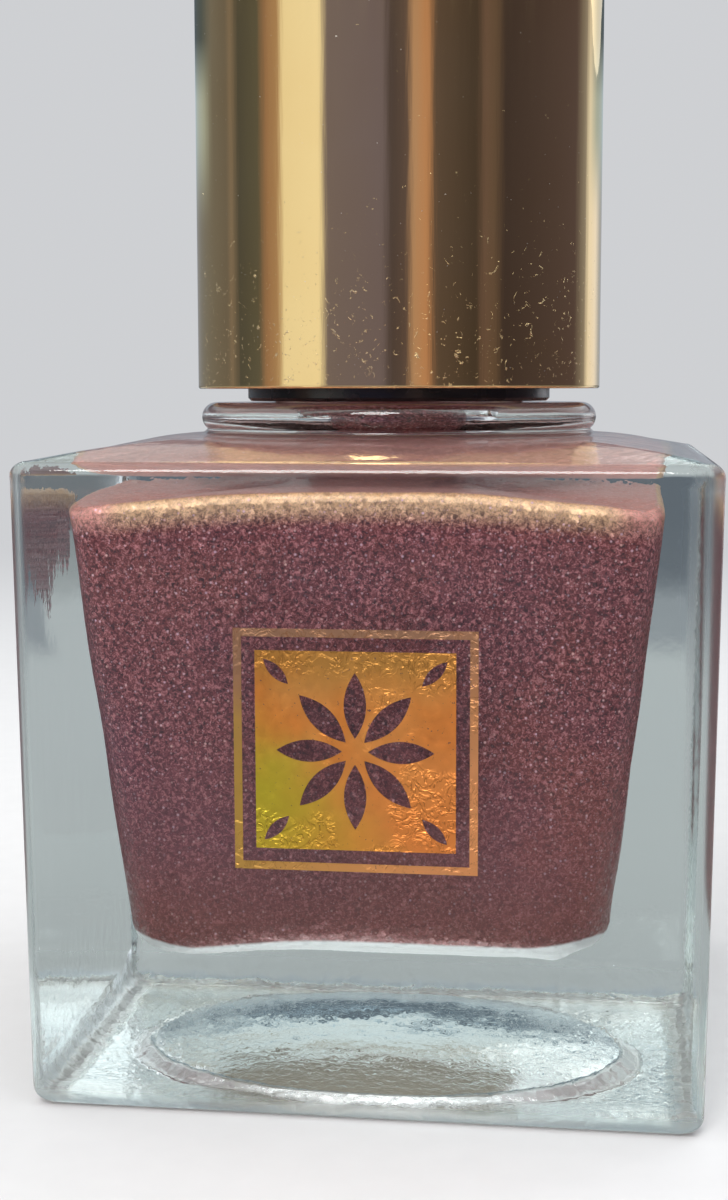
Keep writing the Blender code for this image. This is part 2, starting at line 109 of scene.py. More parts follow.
# Hollow
CAVITY_FLOOR = FILL_LOW.z - CAD_GAP
CAVITY_HALF_TOP = FILL_HIGH.x + CAD_GAP
CAVITY_HALF_BOTTOM = CAVITY_HALF_TOP - 2.0
CAVITY_CORNER_TOP = 1.8
CAVITY_CORNER_BOTTOM = 2.8
CAVITY_BOTTOM_EDGE = 1.7
CAVITY_TOP_EDGE = 0.5
CEILING_MIDDLE = 27.15
CEILING_CORNER_DROP = 0.75
THROAT_HEIGHT = FILL_HIGH.z
THROAT_FLARE = 1.6
HOLLOW_WOBBLE = 0.09
WETTING = 0.02  # the lacquer's skin lies this far into the glass, so that no air shows between them
SIDE_SINK = 0.45  # the sides are shaded as slightly sunk, as pressed glass is when it has cooled
LEAN = -0.2  # the hollow isn't quite central, and its bottom edge isn't quite level
LOW_SIDE = -0.15
HIGH_SIDE = 0.55

SIDE_STEPS = 12
CORNER_STEPS = 5


# ---- mesh helpers


def closed_mesh(name, verts, faces):
    """A mesh from millimetre points, with its normals facing out."""
    mesh = bpy.data.meshes.new(name)
    mesh.from_pydata([tuple(float(c) * MM for c in v) for v in verts], [], faces)
    bm = bmesh.new()
    bm.from_mesh(mesh)
    bmesh.ops.recalc_face_normals(bm, faces=bm.faces)
    bm.to_mesh(mesh)
    bm.free()
    return mesh


def add_object(name, data):
    """An object in the scene for a mesh, a lamp or the camera."""
    thing = bpy.data.objects.new(name, data)
    bpy.context.scene.collection.objects.link(thing)
    return thing


def new_piece(name, verts, faces, material, body, replaces=(), sharp=None):
    """A mesh piece from millimetre points, riding on a body and standing for CAD nodes."""
    mesh = closed_mesh(name, verts, faces)
    mesh.shade_smooth()
    if sharp is not None:
        mesh.set_sharp_from_angle(angle=math.radians(sharp))
    mesh.materials.append(material)
    piece = add_object(name, mesh)
    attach(piece, body)
    if replaces:
        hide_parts(*replaces)
    return piece


def skin(rings, joined_ends=False):
    """Vertices and faces of a skin over equal rings, capped at both ends or joined end to end."""
    count = len(rings[0])
    verts = [tuple(point) for ring in rings for point in ring]
    faces = []
    pairs = [(i, i + 1) for i in range(len(rings) - 1)]
    if joined_ends:
        pairs.append((len(rings) - 1, 0))
    for low, high in pairs:
        for i in range(count):
            j = (i + 1) % count
            faces.append((low * count + i, low * count + j, high * count + j, high * count + i))
    if not joined_ends:
        faces.append(tuple(range(count))[::-1])
        faces.append(tuple((len(rings) - 1) * count + i for i in range(count)))
    return verts, faces


def even_weights(piece):
    """Lets large flat faces set the shading next to the small round ones."""
    modifier = piece.modifiers.new("even_weights", "WEIGHTED_NORMAL")
    modifier.keep_sharp = True
    modifier.weight = 80
    return piece


def arc(centre, radius, start, end, steps):
    """(radius, height) points of a round edge, in degrees turning from outwards to up."""
    points = []
    for i in range(steps + 1):
        turn = math.radians(start + (end - start) * i / steps)
        points.append((centre[0] + radius * math.cos(turn), centre[1] + radius * math.sin(turn)))
    return points


def all_round(steps):
    """Directions in radians, evenly round the axis."""
    return [2 * math.pi * i / steps for i in range(steps)]


def turned(profile, steps, joined_ends=False):
    """A turned skin from (radius, height) points."""
    turns = all_round(steps)
    rings = [[(r * math.cos(t), r * math.sin(t), z) for t in turns] for r, z in profile]
    return skin(rings, joined_ends)


# ---- rounded squares


def ring_turns():
    """Directions round a ring, closer together at the four rounded corners."""
    start = math.atan2(BODY_HALF_TOP - BODY_CORNER, BODY_HALF_TOP)
    side = [start * i / SIDE_STEPS for i in range(SIDE_STEPS)]
    corner = [start + (math.pi / 4 - start) * i / CORNER_STEPS for i in range(CORNER_STEPS)]
    octant = side + corner
    quadrant = octant + [math.pi / 4] + [math.pi / 2 - turn for turn in reversed(octant[1:])]
    return np.array([math.pi / 2 * i + turn for i in range(4) for turn in quadrant])


TURNS = ring_turns()
FOLDS = np.minimum(TURNS % (math.pi / 2), math.pi / 2 - TURNS % (math.pi / 2))


def ring(radii, heights):
    """A ring of points at these distances from the axis."""
    heights = np.broadcast_to(heights, TURNS.shape)
    return np.stack([radii * np.cos(TURNS), radii * np.sin(TURNS), heights], axis=1)


def square_ring(half, corner, heights):
    """A ring along a rounded square."""
    flat = half - corner
    along = flat * (np.cos(FOLDS) + np.sin(FOLDS))
    rounded = along + np.sqrt(np.maximum(along**2 - 2 * flat**2 + corner**2, 0))
    straight = half / np.cos(FOLDS)
    return ring(np.where(half * np.tan(FOLDS) <= flat, straight, rounded), heights)


def round_ring(radius, height):
    return ring(np.full(TURNS.shape, float(radius)), height)


def body_half(height):
    """Half the width of the glass block at a height."""
    return BODY_HALF_BASE + (BODY_HALF_TOP - BODY_HALF_BASE) * height / BODY_HEIGHT


def wobbled(rings, amount, size, seed):
    """Rings shifted by a smooth noise of this size, as pressed glass is never quite true."""
    noise.seed_set(WOBBLE_SEED)
    moved = []
    for points in rings:
        shifted = []
        for point in points:
            at = Vector(point) / size + Vector((seed, seed * 0.7, -seed))
            shifted.append(np.array(point) + amount * np.array(noise.noise_vector(at)))
        moved.append(np.array(shifted))
    return moved


# ---- glass and hollow


def punt_height(radius):
    """The push-up: a low dome inside a steep wall."""
    dome = PUNT_WALL + (PUNT_RISE - PUNT_WALL) * (1 - (radius / PUNT_WALL_RADIUS) ** 2)
    step = np.clip((PUNT_RADIUS - radius) / (PUNT_RADIUS - PUNT_WALL_RADIUS), 0, 1)
    return max(dome, 0) * step**0.8


def base_rings():
    """The push-up under the base and the foot round it."""
    dome = np.linspace(0.4, PUNT_WALL_RADIUS, 12)
    wall = np.linspace(PUNT_WALL_RADIUS, PUNT_RADIUS, 6)[1:]
    rings = [round_ring(r, punt_height(r)) for r in np.append(dome, wall)]
    rings = wobbled(rings, PRESSED_WOBBLE, 2.6, 3.0)
    for points in rings:
        points[:, 2] = np.maximum(points[:, 2], 0.0)
    foot = square_ring(BODY_HALF_BASE - BASE_EDGE, BODY_CORNER, 0.0)
    edge = round_ring(PUNT_RADIUS + 0.1, 0.0)
    return rings + [edge, edge * 0.5 + foot * 0.5]


def block_rings():
    """The round bottom edge, the sides, the round top edge and the shoulder."""
    rings = []
    for half, height in arc((BODY_HALF_BASE - BASE_EDGE, BASE_EDGE), BASE_EDGE, 270, 360, 7):
        rings.append(square_ring(half, BODY_CORNER, height))
    for height in np.linspace(BASE_EDGE + 0.4, BODY_HEIGHT - TOP_EDGE - 0.4, 9):
        rings.append(square_ring(body_half(height), BODY_CORNER, height))
    centre = (BODY_HALF_TOP - TOP_EDGE, BODY_HEIGHT - TOP_EDGE)
    for half, height in arc(centre, TOP_EDGE, 0, 90, 7):
        rings.append(square_ring(half, BODY_CORNER, height))
    brow = rings[-1]
    foot = round_ring(COLLAR_FOOT, BODY_HEIGHT)
    shoulder = []
    for share in np.linspace(0.08, 1.0, 12):
        points = brow * (1 - share) + foot * share
        points[:, 2] += SHOULDER_RISE * math.sin(share * math.pi / 2)
        shoulder.append(points)
    return rings + wobbled(shoulder, 0.04, 3.0, 8.0)


def thread_rise(turns, height, start, rounds, outward):
    """How far a thread stands out at directions `turns` (radians) and one height."""
    best = np.zeros(turns.shape)
    for wrap in range(math.ceil(rounds) + 1):
        along = turns / (2 * math.pi) + wrap
        run_out = np.clip(np.minimum(along, rounds - along) / THREAD_RUN_OUT, 0, 1)
        away = np.abs(height - start - THREAD_LEAD * along)
        crest = np.clip((THREAD_FOOT - away) / THREAD_FLANK, 0, 1)
        best = np.maximum(best, crest**2 * (3 - 2 * crest) * run_out)
    return best * outward


def neck_rings():
    low = COLLAR_TOP - COLLAR_EDGE
    profile = [(COLLAR_FOOT - 0.25, BODY_HEIGHT + SHOULDER_RISE + 0.02)]
    profile += arc((COLLAR_RADIUS - COLLAR_EDGE, low), COLLAR_EDGE, -52, 90, 16)
    profile += [(8.0, COLLAR_TOP), (6.8, COLLAR_TOP)]
    fillet = (NECK_RADIUS + NECK_FILLET, COLLAR_TOP + NECK_FILLET)
    profile += arc(fillet, NECK_FILLET, 270, 180, 5)
    rings = [round_ring(r, z) for r, z in profile]
    top = THREAD_START + THREAD_LEAD * THREAD_TURNS + 1.0
    for height in np.arange(THREAD_START - 1.0, top, THREAD_ROW):
        rise = thread_rise(TURNS, height, THREAD_START, THREAD_TURNS, THREAD_HEIGHT)
        rings.append(ring(NECK_RADIUS + rise, height))
    edge = (NECK_RADIUS - LIP_EDGE, NECK_TOP - LIP_EDGE)
    lip = [(NECK_RADIUS, NECK_TOP - 2.0)] + arc(edge, LIP_EDGE, 0, 90, 7)
    lip += arc((BORE_RADIUS + LIP_EDGE, NECK_TOP - LIP_EDGE), LIP_EDGE, 90, 180, 7)
    lip += [(BORE_RADIUS, z) for z in np.linspace(NECK_TOP - 2, THROAT_HEIGHT + 1.2, 6)]
    return rings + [round_ring(r, z) for r, z in lip]


def ceiling_height():
    """The hollow's upper edge arches from the middle of each side down to the corners."""
    return CEILING_MIDDLE - CEILING_CORNER_DROP * np.tan(FOLDS) ** 2


def cavity_rings(grow=0.0):
    """Rings from the throat down to the floor of the hollow, `grow` outside its walls."""
    flare = (BORE_RADIUS + THROAT_FLARE + grow, THROAT_HEIGHT)
    profile = arc(flare, THROAT_FLARE, 180, 240, 6)
    rings = [round_ring(r, z) for r, z in profile]
    half = CAVITY_HALF_TOP - CAVITY_TOP_EDGE + grow
    rim = square_ring(half, CAVITY_CORNER_TOP, ceiling_height() + grow)
    neck = rings[-1]
    for share in np.linspace(0.1, 1.0, 11):
        ease = share**0.8
        points = neck * (1 - share) + rim * share
        points[:, 2] = neck[:, 2] * (1 - ease) + rim[:, 2] * ease
        rings.append(points)
    for turn in np.radians(np.linspace(15, 90, 6)):
        out = half + CAVITY_TOP_EDGE * math.sin(turn)
        drop = CAVITY_TOP_EDGE * (1 - math.cos(turn))
        rings.append(square_ring(out, CAVITY_CORNER_TOP, ceiling_height() + grow - drop))
    top = rings[-1][:, 2]
    low = CAVITY_FLOOR + CAVITY_BOTTOM_EDGE
    slope = CAVITY_HALF_TOP - CAVITY_HALF_BOTTOM
    for share in np.linspace(0.06, 0.94, 14):
        corner = CAVITY_CORNER_TOP + (CAVITY_CORNER_BOTTOM - CAVITY_CORNER_TOP) * share
        half = CAVITY_HALF_TOP - slope * share + grow
        rings.append(square_ring(half, corner, top * (1 - share) + low * share))
    edge = CAVITY_HALF_BOTTOM - CAVITY_BOTTOM_EDGE
    for turn in range(0, 91, 6):
        radius = CAVITY_BOTTOM_EDGE + grow
        out, down = radius * math.cos(math.radians(turn)), radius * math.sin(math.radians(turn))
        rings.append(square_ring(edge + out, CAVITY_CORNER_BOTTOM, low - down))
    last = rings[-1]
    for share in (0.8, 0.6, 0.4, 0.2, 0.03):
        rings.append(last * (share, share, 1) - (0, 0, 0.1 * (1 - share)))
    return wobbled([uneven(points) for points in rings], HOLLOW_WOBBLE, 4.5, 1.0)


def uneven(points):
    """Shifts the hollow a little to one side, and lifts its bottom edge away from that side."""
    moved = points.copy()
    reach = np.maximum(np.abs(points[:, 0]), np.abs(points[:, 1]))
    share = np.clip((points[:, 0] + 10) / 9, 0, 1)
    lift = LOW_SIDE + (HIGH_SIDE - LOW_SIDE) * share**2 * (3 - 2 * share)
    lift *= np.clip((reach - 7.8) / 1.5, 0, 1) * np.clip((11 - points[:, 2]) / 2.5, 0, 1)
    moved[:, 0] += LEAN * np.clip((28 - points[:, 2]) / 1.5, 0, 1)
    moved[:, 2] += lift
    return moved


def make_bottle():
    rings = base_rings() + block_rings() + neck_rings() + cavity_rings()
    verts, faces = skin(rings)
    piece = new_piece(
        "bottle_glass", verts, faces, glass_material(), "root", ["glass_bottle"]
    )
    return even_weights(piece)


def make_lacquer():
    """The liquid, up to a slight meniscus in the throat."""
    meniscus = [round_ring(r, THROAT_HEIGHT - 0.25 + 0.02 * r * r) for r in (0.3, 1.2, 2.2, 2.9)]
    verts, faces = skin(meniscus + cavity_rings(WETTING))
    return new_piece(
        "bottle_lacquer", verts, faces, lacquer_material(), "root",
        ["lacquer_fill"],
    )


def make_neck_film():
    """The coat that the brush leaves on the inside of the neck, with an uneven upper edge."""
    low, rows = THROAT_HEIGHT + 0.05, 10
    inner, outer = BORE_RADIUS - 0.1, BORE_RADIUS - 0.015
    turns = all_round(96)
    tops = []
    for turn in turns:
        at = Vector((2 * math.cos(turn), 2 * math.sin(turn), 4.0))
        tops.append(NECK_TOP - 4.5 + 3.2 * noise.noise(at))
    rings = []
    for radius, shares in ((outer, np.linspace(0, 1, rows)), (inner, np.linspace(1, 0, rows))):
        for share in shares:
            rings.append([
                (radius * math.cos(turn), radius * math.sin(turn), low + (top - low) * share)
                for turn, top in zip(turns, tops)
            ])
    verts, faces = skin(rings, joined_ends=True)
    return new_piece(
        "neck_lacquer_film", verts, faces, lacquer_material(), "root"
    )


# ---- foil print

FOIL_LIFT = 0.012
FOIL_THICKNESS = 0.03
FOIL_SHARP = 30
LINE_STROKE = 0.35
PETALS = 8
PETAL_INNER = 0.55
PETAL_OUTER = 3.35
PETAL_WIDTH = 0.95
CORNER_LEAF_CENTRE = 4.75
CORNER_LEAF_LENGTH = 1.5
CORNER_LEAF_WIDTH = 0.5


def on_front(centre, u, v, depth):
    """A point on the sloping front face: u to the right, v up, depth out of the glass."""
    height = centre.z + v
    return (centre.x + u, -(body_half(height) + FOIL_LIFT + depth), height)


def square_outline(side, steps):
    half = side / 2
    corners = [(-half, -half), (half, -half), (half, half), (-half, half)]
    outline = []
    for i, a in enumerate(corners):
        b = corners[(i + 1) % 4]
        for k in range(steps):
            outline.append((a[0] + (b[0] - a[0]) * k / steps, a[1] + (b[1] - a[1]) * k / steps))
    return outline


def make_foil_line():
    """The square line round the foil panel."""
    centre = (LINE_LOW + LINE_HIGH) / 2
    side = LINE_HIGH.x - LINE_LOW.x
    outer, inner = square_outline(side, 20), square_outline(side - 2 * LINE_STROKE, 20)
    sections = ((outer, 0), (outer, FOIL_THICKNESS), (inner, FOIL_THICKNESS), (inner, 0))
    rings = [[on_front(centre, u, v, depth) for u, v in outline] for outline, depth in sections]
    verts, faces = skin(rings, joined_ends=True)
    return new_piece(
        "foil_line", verts, faces, line_foil_material(), "root", ["foil_frame"],
        sharp=FOIL_SHARP,
    )


def leaf(centre, turn, length, width, steps=18):
    """A pointed leaf outline with round sides, lying along the direction `turn`."""
    sides = []
    for side in (1, -1):
        for i in range(steps):
            along = -side * (i / steps - 0.5)
            sides.append((along * length, side * width / 2 * (1 - (2 * along) ** 2)))
    cos, sin = math.cos(turn), math.sin(turn)
    return [(centre[0] + a * cos - b * sin, centre[1] + a * sin + b * cos) for a, b in sides]


def rosette_outlines():
    """Eight leaves round the middle and a small leaf in each corner."""
    outlines = []
    reach = (PETAL_OUTER + PETAL_INNER) / 2
    for i in range(PETALS):
        turn = 2 * math.pi * i / PETALS
        centre = (reach * math.cos(turn), reach * math.sin(turn))
        outlines.append(leaf(centre, turn, PETAL_OUTER - PETAL_INNER, PETAL_WIDTH))
    for i in range(4):
        turn = math.pi / 4 + math.pi / 2 * i
        centre = (CORNER_LEAF_CENTRE * math.cos(turn), CORNER_LEAF_CENTRE * math.sin(turn))
        outlines.append(leaf(centre, turn, CORNER_LEAF_LENGTH, CORNER_LEAF_WIDTH))
    return outlines


def make_foil_panel():
    """The foil square, with the rosette cut out of it."""
    centre = (PANEL_LOW + PANEL_HIGH) / 2
    side = PANEL_HIGH.x - PANEL_LOW.x
    outline = square_outline(side, 1)
    rings = [[on_front(centre, u, v, d) for u, v in outline] for d in (0, FOIL_THICKNESS)]
    verts, faces = skin(rings)
    piece = new_piece(
        "foil_rosette", verts, faces, panel_foil_material(), "root", ["foil_panel"]
    )
    verts, faces = [], []
    for outline in rosette_outlines():
        part_verts, part_faces = skin(
            [[on_front(centre, u, v, d) for u, v in outline] for d in (-1, 1)]
        )
        faces += [tuple(len(verts) + i for i in face) for face in part_faces]
        verts += part_verts
    cut_away(piece, verts, faces)
    piece.data.set_sharp_from_angle(angle=math.radians(FOIL_SHARP))
    return piece


def cut_away(piece, verts, faces):
    """Subtracts a mesh in millimetres from a piece and bakes the result into it."""
    cutter = add_object("cutter", closed_mesh("cutter", verts, faces))
    modifier = piece.modifiers.new("cut", "BOOLEAN")
    modifier.operation = "DIFFERENCE"
    modifier.object = cutter
    graph = bpy.context.evaluated_depsgraph_get()
    result = bpy.data.meshes.new_from_object(piece.evaluated_get(graph))
    piece.modifiers.clear()
    piece.data = result
    bpy.data.objects.remove(cutter)


# ---- cap

SHELL_WALL = 0.5
RIM_EDGE = 0.12
TOP_ROUND = 0.5
SLEEVE_WALL = 0.9
SLEEVE_RIBS = 12
RIB_TOP = 45.2
ROOF_HEIGHT = 44.3
KNURLS = 32
CLOSURE_RADIUS = 7.35
CLOSURE_BORE = 6.8
CLOSURE_TOP = 45.5
KNURL_DEPTH = CLOSURE_HIGH.x - CLOSURE_RADIUS
SOCKET_RADIUS = 3.0
SPIGOT_HOLE = 1.8
LINER_HOLE = 2.3
SEAT_GAP = 0.06  # the real skirt all but sits on the collar, where the CAD keeps its clearance


def make_shell():
    """The gold skin: drawn from one sheet, with rounded rim and top edges."""
    outside, low, top = SHELL_HIGH.x, SHELL_LOW.z, SHELL_HIGH.z
    inside, roof = outside - SHELL_WALL, top - SHELL_WALL
    profile = [(0.3, roof)]
    profile += arc((inside - 0.4, roof - 0.4), 0.4, 90, 0, 5)
    profile += [(inside, z) for z in np.linspace(top - 3, low + 0.6, 4)]
    profile += arc((inside + RIM_EDGE, low + RIM_EDGE), RIM_EDGE, 180, 270, 5)
    profile += arc((outside - RIM_EDGE, low + RIM_EDGE), RIM_EDGE, 270, 360, 6)
    profile += [(outside, low + RIM_EDGE + 0.03)]
    profile += [(outside, z) for z in np.linspace(low + 0.5, top - 0.8, 24)]
    profile += arc((outside - TOP_ROUND, top - TOP_ROUND), TOP_ROUND, 0, 90, 8)
    profile += [(outside - 1.0, top), (0.3, top)]
    verts, faces = turned(profile, 192)
    piece = new_piece(
        "cap_shell", verts, faces, gold_material(), "cap", ["overcap_shell"]
    )
    return even_weights(piece)


def level_ring(turns, radius, height):
    """A level ring at these directions, in radians."""
    heights = np.full(len(turns), height)
    return np.stack([radius * np.cos(turns), radius * np.sin(turns), heights], 1)


def make_sleeve():
    """The insert inside the shell, with ribs that grip the inner cap."""
    outer, low, top = SLEEVE_HIGH.x, SLEEVE_LOW.z, SLEEVE_HIGH.z
    inner = outer - SLEEVE_WALL
    rib = CLOSURE_HIGH.x + CAD_GAP
    steps = SLEEVE_RIBS * 16
    turns = np.arange(steps) * 2 * math.pi / steps
    bump = np.clip(np.cos(turns * SLEEVE_RIBS) * 3 - 1.2, 0, 1)

    plain = partial(level_ring, turns)

    def ribbed(share, height):
        return plain(inner - (inner - rib) * bump * share, height)

    rings = [plain(0.3, top), plain(outer - 0.3, top), plain(outer, top - 0.3)]
    rings += [plain(outer, low + 0.2), plain(outer - 0.2, low)]
    rings += [ribbed(0.7, low), ribbed(1, low + 0.4), ribbed(1, RIB_TOP)]
    rings += [ribbed(0, RIB_TOP + 0.5), plain(inner, top - SLEEVE_WALL - 0.4)]
    rings += [plain(inner - 0.4, top - SLEEVE_WALL), plain(0.3, top - SLEEVE_WALL)]
    verts, faces = skin(rings)
    return new_piece(
        "cap_sleeve", verts, faces, sleeve_material(), "cap", ["overcap_sleeve"],
        sharp=35,
    )


def make_closure():
    """The threaded inner cap: smooth skirt, knurled upper wall, and the socket for the brush."""
    steps = KNURLS * 8
    turns = np.arange(steps) * 2 * math.pi / steps
    knurl = np.clip(np.cos(turns * KNURLS) * 1.6, -1, 1) * 0.5 + 0.5
    low, roof, top = COLLAR_TOP + SEAT_GAP, ROOF_HEIGHT, CLOSURE_TOP
    plain = partial(level_ring, turns)

    def bore(height):
        start = THREAD_START + THREAD_LEAD / 2
        rise = thread_rise(turns, height, start, 1.0, 0.6)
        return plain(CLOSURE_BORE - rise, height)

    rings = [bore(z) for z in (roof, 41.0)]
    rings += [bore(z) for z in np.arange(38.6, THREAD_START - 0.2, -0.12)]
    rings += [plain(CLOSURE_BORE, low + 0.3), plain(CLOSURE_BORE + 0.12, low)]
    rings += [plain(CLOSURE_RADIUS - 0.15, low), plain(CLOSURE_RADIUS, low + 0.15)]
    rings += [plain(CLOSURE_RADIUS, z) for z in (33.0, 35.6)]
    rings += [plain(CLOSURE_RADIUS + KNURL_DEPTH * knurl, z) for z in (36.0, 40.0, roof)]
    rings += [plain(CLOSURE_RADIUS - 0.4, top), plain(SOCKET_RADIUS + 0.3, top)]
    rings += [plain(SOCKET_RADIUS, top + 0.3), plain(SOCKET_RADIUS, CLOSURE_HIGH.z - 0.2)]
    rings += [plain(r, CLOSURE_HIGH.z) for r in (SOCKET_RADIUS - 0.2, SPIGOT_HOLE + 0.15)]
    rings += [plain(SPIGOT_HOLE, CLOSURE_HIGH.z - 0.2), plain(SPIGOT_HOLE, roof)]
    verts, faces = skin(rings, joined_ends=True)
    return new_piece(
        "cap_closure", verts, faces, black_material(), "cap",
        ["inner_cap"], sharp=40,
    )


def make_liner():
    """The soft washer, with the groove that the mouth of the neck has pressed into it."""
    hole, rim = LINER_HOLE, LINER_HIGH.x
    low, high = LINER_LOW.z, LINER_HIGH.z
    groove = (NECK_RADIUS + BORE_RADIUS) / 2
    profile = [(hole, low + 0.1), (hole + 0.1, low), (groove - 0.9, low)]
    profile += [(groove - 0.6, low + 0.12), (groove + 0.6, low + 0.12), (groove + 0.9, low)]
    profile += [(rim - 0.1, low), (rim, low + 0.1)]
    profile += [(rim, high - 0.1), (rim - 0.1, high), (hole + 0.1, high), (hole, high - 0.1)]
    verts, faces = turned(profile, 96, joined_ends=True)
    return new_piece(
        "liner_disc", verts, faces, liner_material(), "liner", ["sealing_liner"],
        sharp=50,
    )


# ---- brush

STEM_RADIUS = 2.0
STEM_TIP_RADIUS = 1.8
SPIGOT_RADIUS = 1.5
FLANGE_LOW = 43.4
FLANGE_HIGH = 44.0
SOCKET_MOUTH = 1.35
TUFT_SOCKET_TOP = 26.9
TUFT_ROOT_RADIUS = 1.0
TUFT_BELLY = 13.5  # the height at which the bundle is widest
TUFT_TIP_RADIUS = 0.4
BRISTLES = 230
BRISTLE_RADIUS = 0.05
BRISTLE_SEED = 11


def make_stem():
    """The wand: a spigot and flange in the inner cap, and a socket for the bristles at its tip."""
    flange = STEM_HIGH.x
    profile = [(0.3, STEM_HIGH.z), (SPIGOT_RADIUS - 0.2, STEM_HIGH.z)]
    profile += [(SPIGOT_RADIUS, STEM_HIGH.z - 0.2), (SPIGOT_RADIUS, FLANGE_HIGH)]
    profile += arc((flange - 0.2, FLANGE_HIGH - 0.2), 0.2, 90, 0, 3)
    profile += arc((flange - 0.2, FLANGE_LOW + 0.2), 0.2, 0, -90, 3)
    profile += arc((STEM_RADIUS + 0.3, FLANGE_LOW - 0.3), 0.3, 90, 180, 4)
    profile += [(STEM_RADIUS, z) for z in (40.0, 36.0, 33.0)]
    profile += [(STEM_TIP_RADIUS, STEM_LOW.z + 0.4)]
    profile += arc((STEM_TIP_RADIUS - 0.25, STEM_LOW.z + 0.25), 0.25, 0, -90, 4)
    profile += [(SOCKET_MOUTH + 0.05, STEM_LOW.z), (SOCKET_MOUTH, STEM_LOW.z + 0.1)]
    profile += [(SOCKET_MOUTH, TUFT_SOCKET_TOP), (0.3, TUFT_SOCKET_TOP)]
    verts, faces = turned(profile, 96)
    return new_piece(
        "brush_wand", verts, faces, wand_material(), "cap", ["brush_stem"], sharp=35
    )


def tuft_radius(height):
    """The bundle's radius at a height: tight at the socket, widest low down, round at the tip."""
    mouth, widest = STEM_LOW.z, TUFT_HIGH.x
    if height >= mouth:
        return TUFT_ROOT_RADIUS
    if height >= TUFT_BELLY:
        swell = math.sin((mouth - height) / (mouth - TUFT_BELLY) * math.pi / 2)
        return TUFT_ROOT_RADIUS + (widest - TUFT_ROOT_RADIUS) * swell
    share = (TUFT_BELLY - height) / (TUFT_BELLY - TUFT_LOW.z)
    return TUFT_TIP_RADIUS + (widest - TUFT_TIP_RADIUS) * math.sqrt(max(1 - share**2, 0))


def make_bristles():
    """Single filaments fanning from the socket, each cut where the round tip of the bundle ends."""
    rng = random.Random(BRISTLE_SEED)
    verts, faces = [], []
    sides, rows = 5, 12
    for i in range(BRISTLES):
        share = math.sqrt((i + 0.5) / BRISTLES)
        turn = i * math.pi * (3 - math.sqrt(5)) + rng.uniform(-0.1, 0.1)
        bottom = TUFT_LOW.z + 0.15 + 4.0 * share**3 + rng.uniform(0, 0.5)
        sway = rng.uniform(-0.12, 0.12)
        first = len(verts)
        for row in range(rows):
            height = TUFT_HIGH.z - 0.2 + (bottom - TUFT_HIGH.z + 0.2) * row / (rows - 1)
            spread = tuft_radius(max(height, TUFT_BELLY)) - 2 * BRISTLE_RADIUS
            out = spread * share
            if height < TUFT_BELLY:
                out *= 1 - 0.22 * ((TUFT_BELLY - height) / (TUFT_BELLY - TUFT_LOW.z)) ** 2
            lean = turn + sway * row / rows
            x, y = out * math.cos(lean), out * math.sin(lean)
            thick = BRISTLE_RADIUS * (1 if row < rows - 1 else 0.55)
            for k in range(sides):
                about = 2 * math.pi * k / sides
                verts.append((x + thick * math.cos(about), y + thick * math.sin(about), height))
        for row in range(rows - 1):
            for k in range(sides):
                a = first + row * sides
                b = a + sides
                j = (k + 1) % sides
                faces.append((a + k, a + j, b + j, b + k))
        faces.append(tuple(first + k for k in range(sides))[::-1])
        faces.append(tuple(first + (rows - 1) * sides + k for k in range(sides)))
    return new_piece(
        "brush_bristles", verts, faces, bristle_material(), "cap", ["brush_tuft"]
    )


def make_brush_load():
    """The lacquer held between the filaments."""
    heights = np.linspace(STEM_LOW.z - 0.2, TUFT_LOW.z + 0.5, 30)
    profile = [(0.2, heights[0] + 0.1)]
    profile += [(max(0.8 * tuft_radius(z) - 0.05, 0.2), z) for z in heights]
    profile.append((0.1, heights[-1] - 0.1))
    rings = []
    for radius, height in profile:
        points = []
        for turn in all_round(48):
            ridge = 1 + 0.06 * math.sin(9 * turn + height) + 0.04 * math.sin(17 * turn - 2 * height)
            out = radius * ridge
            points.append((out * math.cos(turn), out * math.sin(turn), height))
        rings.append(points)
    verts, faces = skin(rings)
    return new_piece(
        "brush_lacquer_load", verts, faces, lacquer_material(), "cap"
    )


# ---- node helpers


def new_material(name):
    material = bpy.data.materials.new(name)
    material.use_nodes = True
    tree = material.node_tree
    return material, tree, tree.nodes["Principled BSDF"]


def feed(socket, value):
    """Links an input to another node's output, or sets it to a value."""
    if isinstance(value, bpy.types.NodeSocket):
        socket.id_data.links.new(value, socket)
    else:
        socket.default_value = value


def add(tree, kind, settings=None, **inputs):
    """A node with its settings and inputs; an input is named, or numbered as i0, i1 and so on."""
    node = tree.nodes.new(kind)
    for key, value in (settings or {}).items():
        setattr(node, key, value)
    for key, value in inputs.items():
        numbered = key[0] == "i" and key[1:].isdigit()
        feed(node.inputs[int(key[1:]) if numbered else key], value)
    return node


def look(shader, colour, rough, normal, metal=0.0):
    """Gives a surface its colour, roughness, relief and metal share."""
    feed(shader.inputs["Base Color"], colour)
    feed(shader.inputs["Roughness"], rough)
    feed(shader.inputs["Normal"], normal)
    feed(shader.inputs["Metallic"], metal)


def maths(operation):
    """A function that works on values of which one or more is another node's output."""

    def join(*values):
        tree = next(value.id_data for value in values if isinstance(value, bpy.types.NodeSocket))
        node = add(tree, "ShaderNodeMath", {"operation": operation})
        for socket, value in zip(node.inputs, values):
            feed(socket, value)
        return node.outputs[0]

    return join


plus, minus, times, over = (maths(name) for name in ("ADD", "SUBTRACT", "MULTIPLY", "DIVIDE"))
larger, smaller, size_of = (maths(name) for name in ("MAXIMUM", "MINIMUM", "ABSOLUTE"))


def vector_maths(operation, first, *others, output=0):
    node = add(first.id_data, "ShaderNodeVectorMath", {"operation": operation}, i0=first)
    for socket, value in zip(node.inputs[1:], others):
        feed(socket, value)
    return node.outputs[output]


def axis_of(place, axis):
    return add(place.id_data, "ShaderNodeSeparateXYZ", Vector=place).outputs[axis]


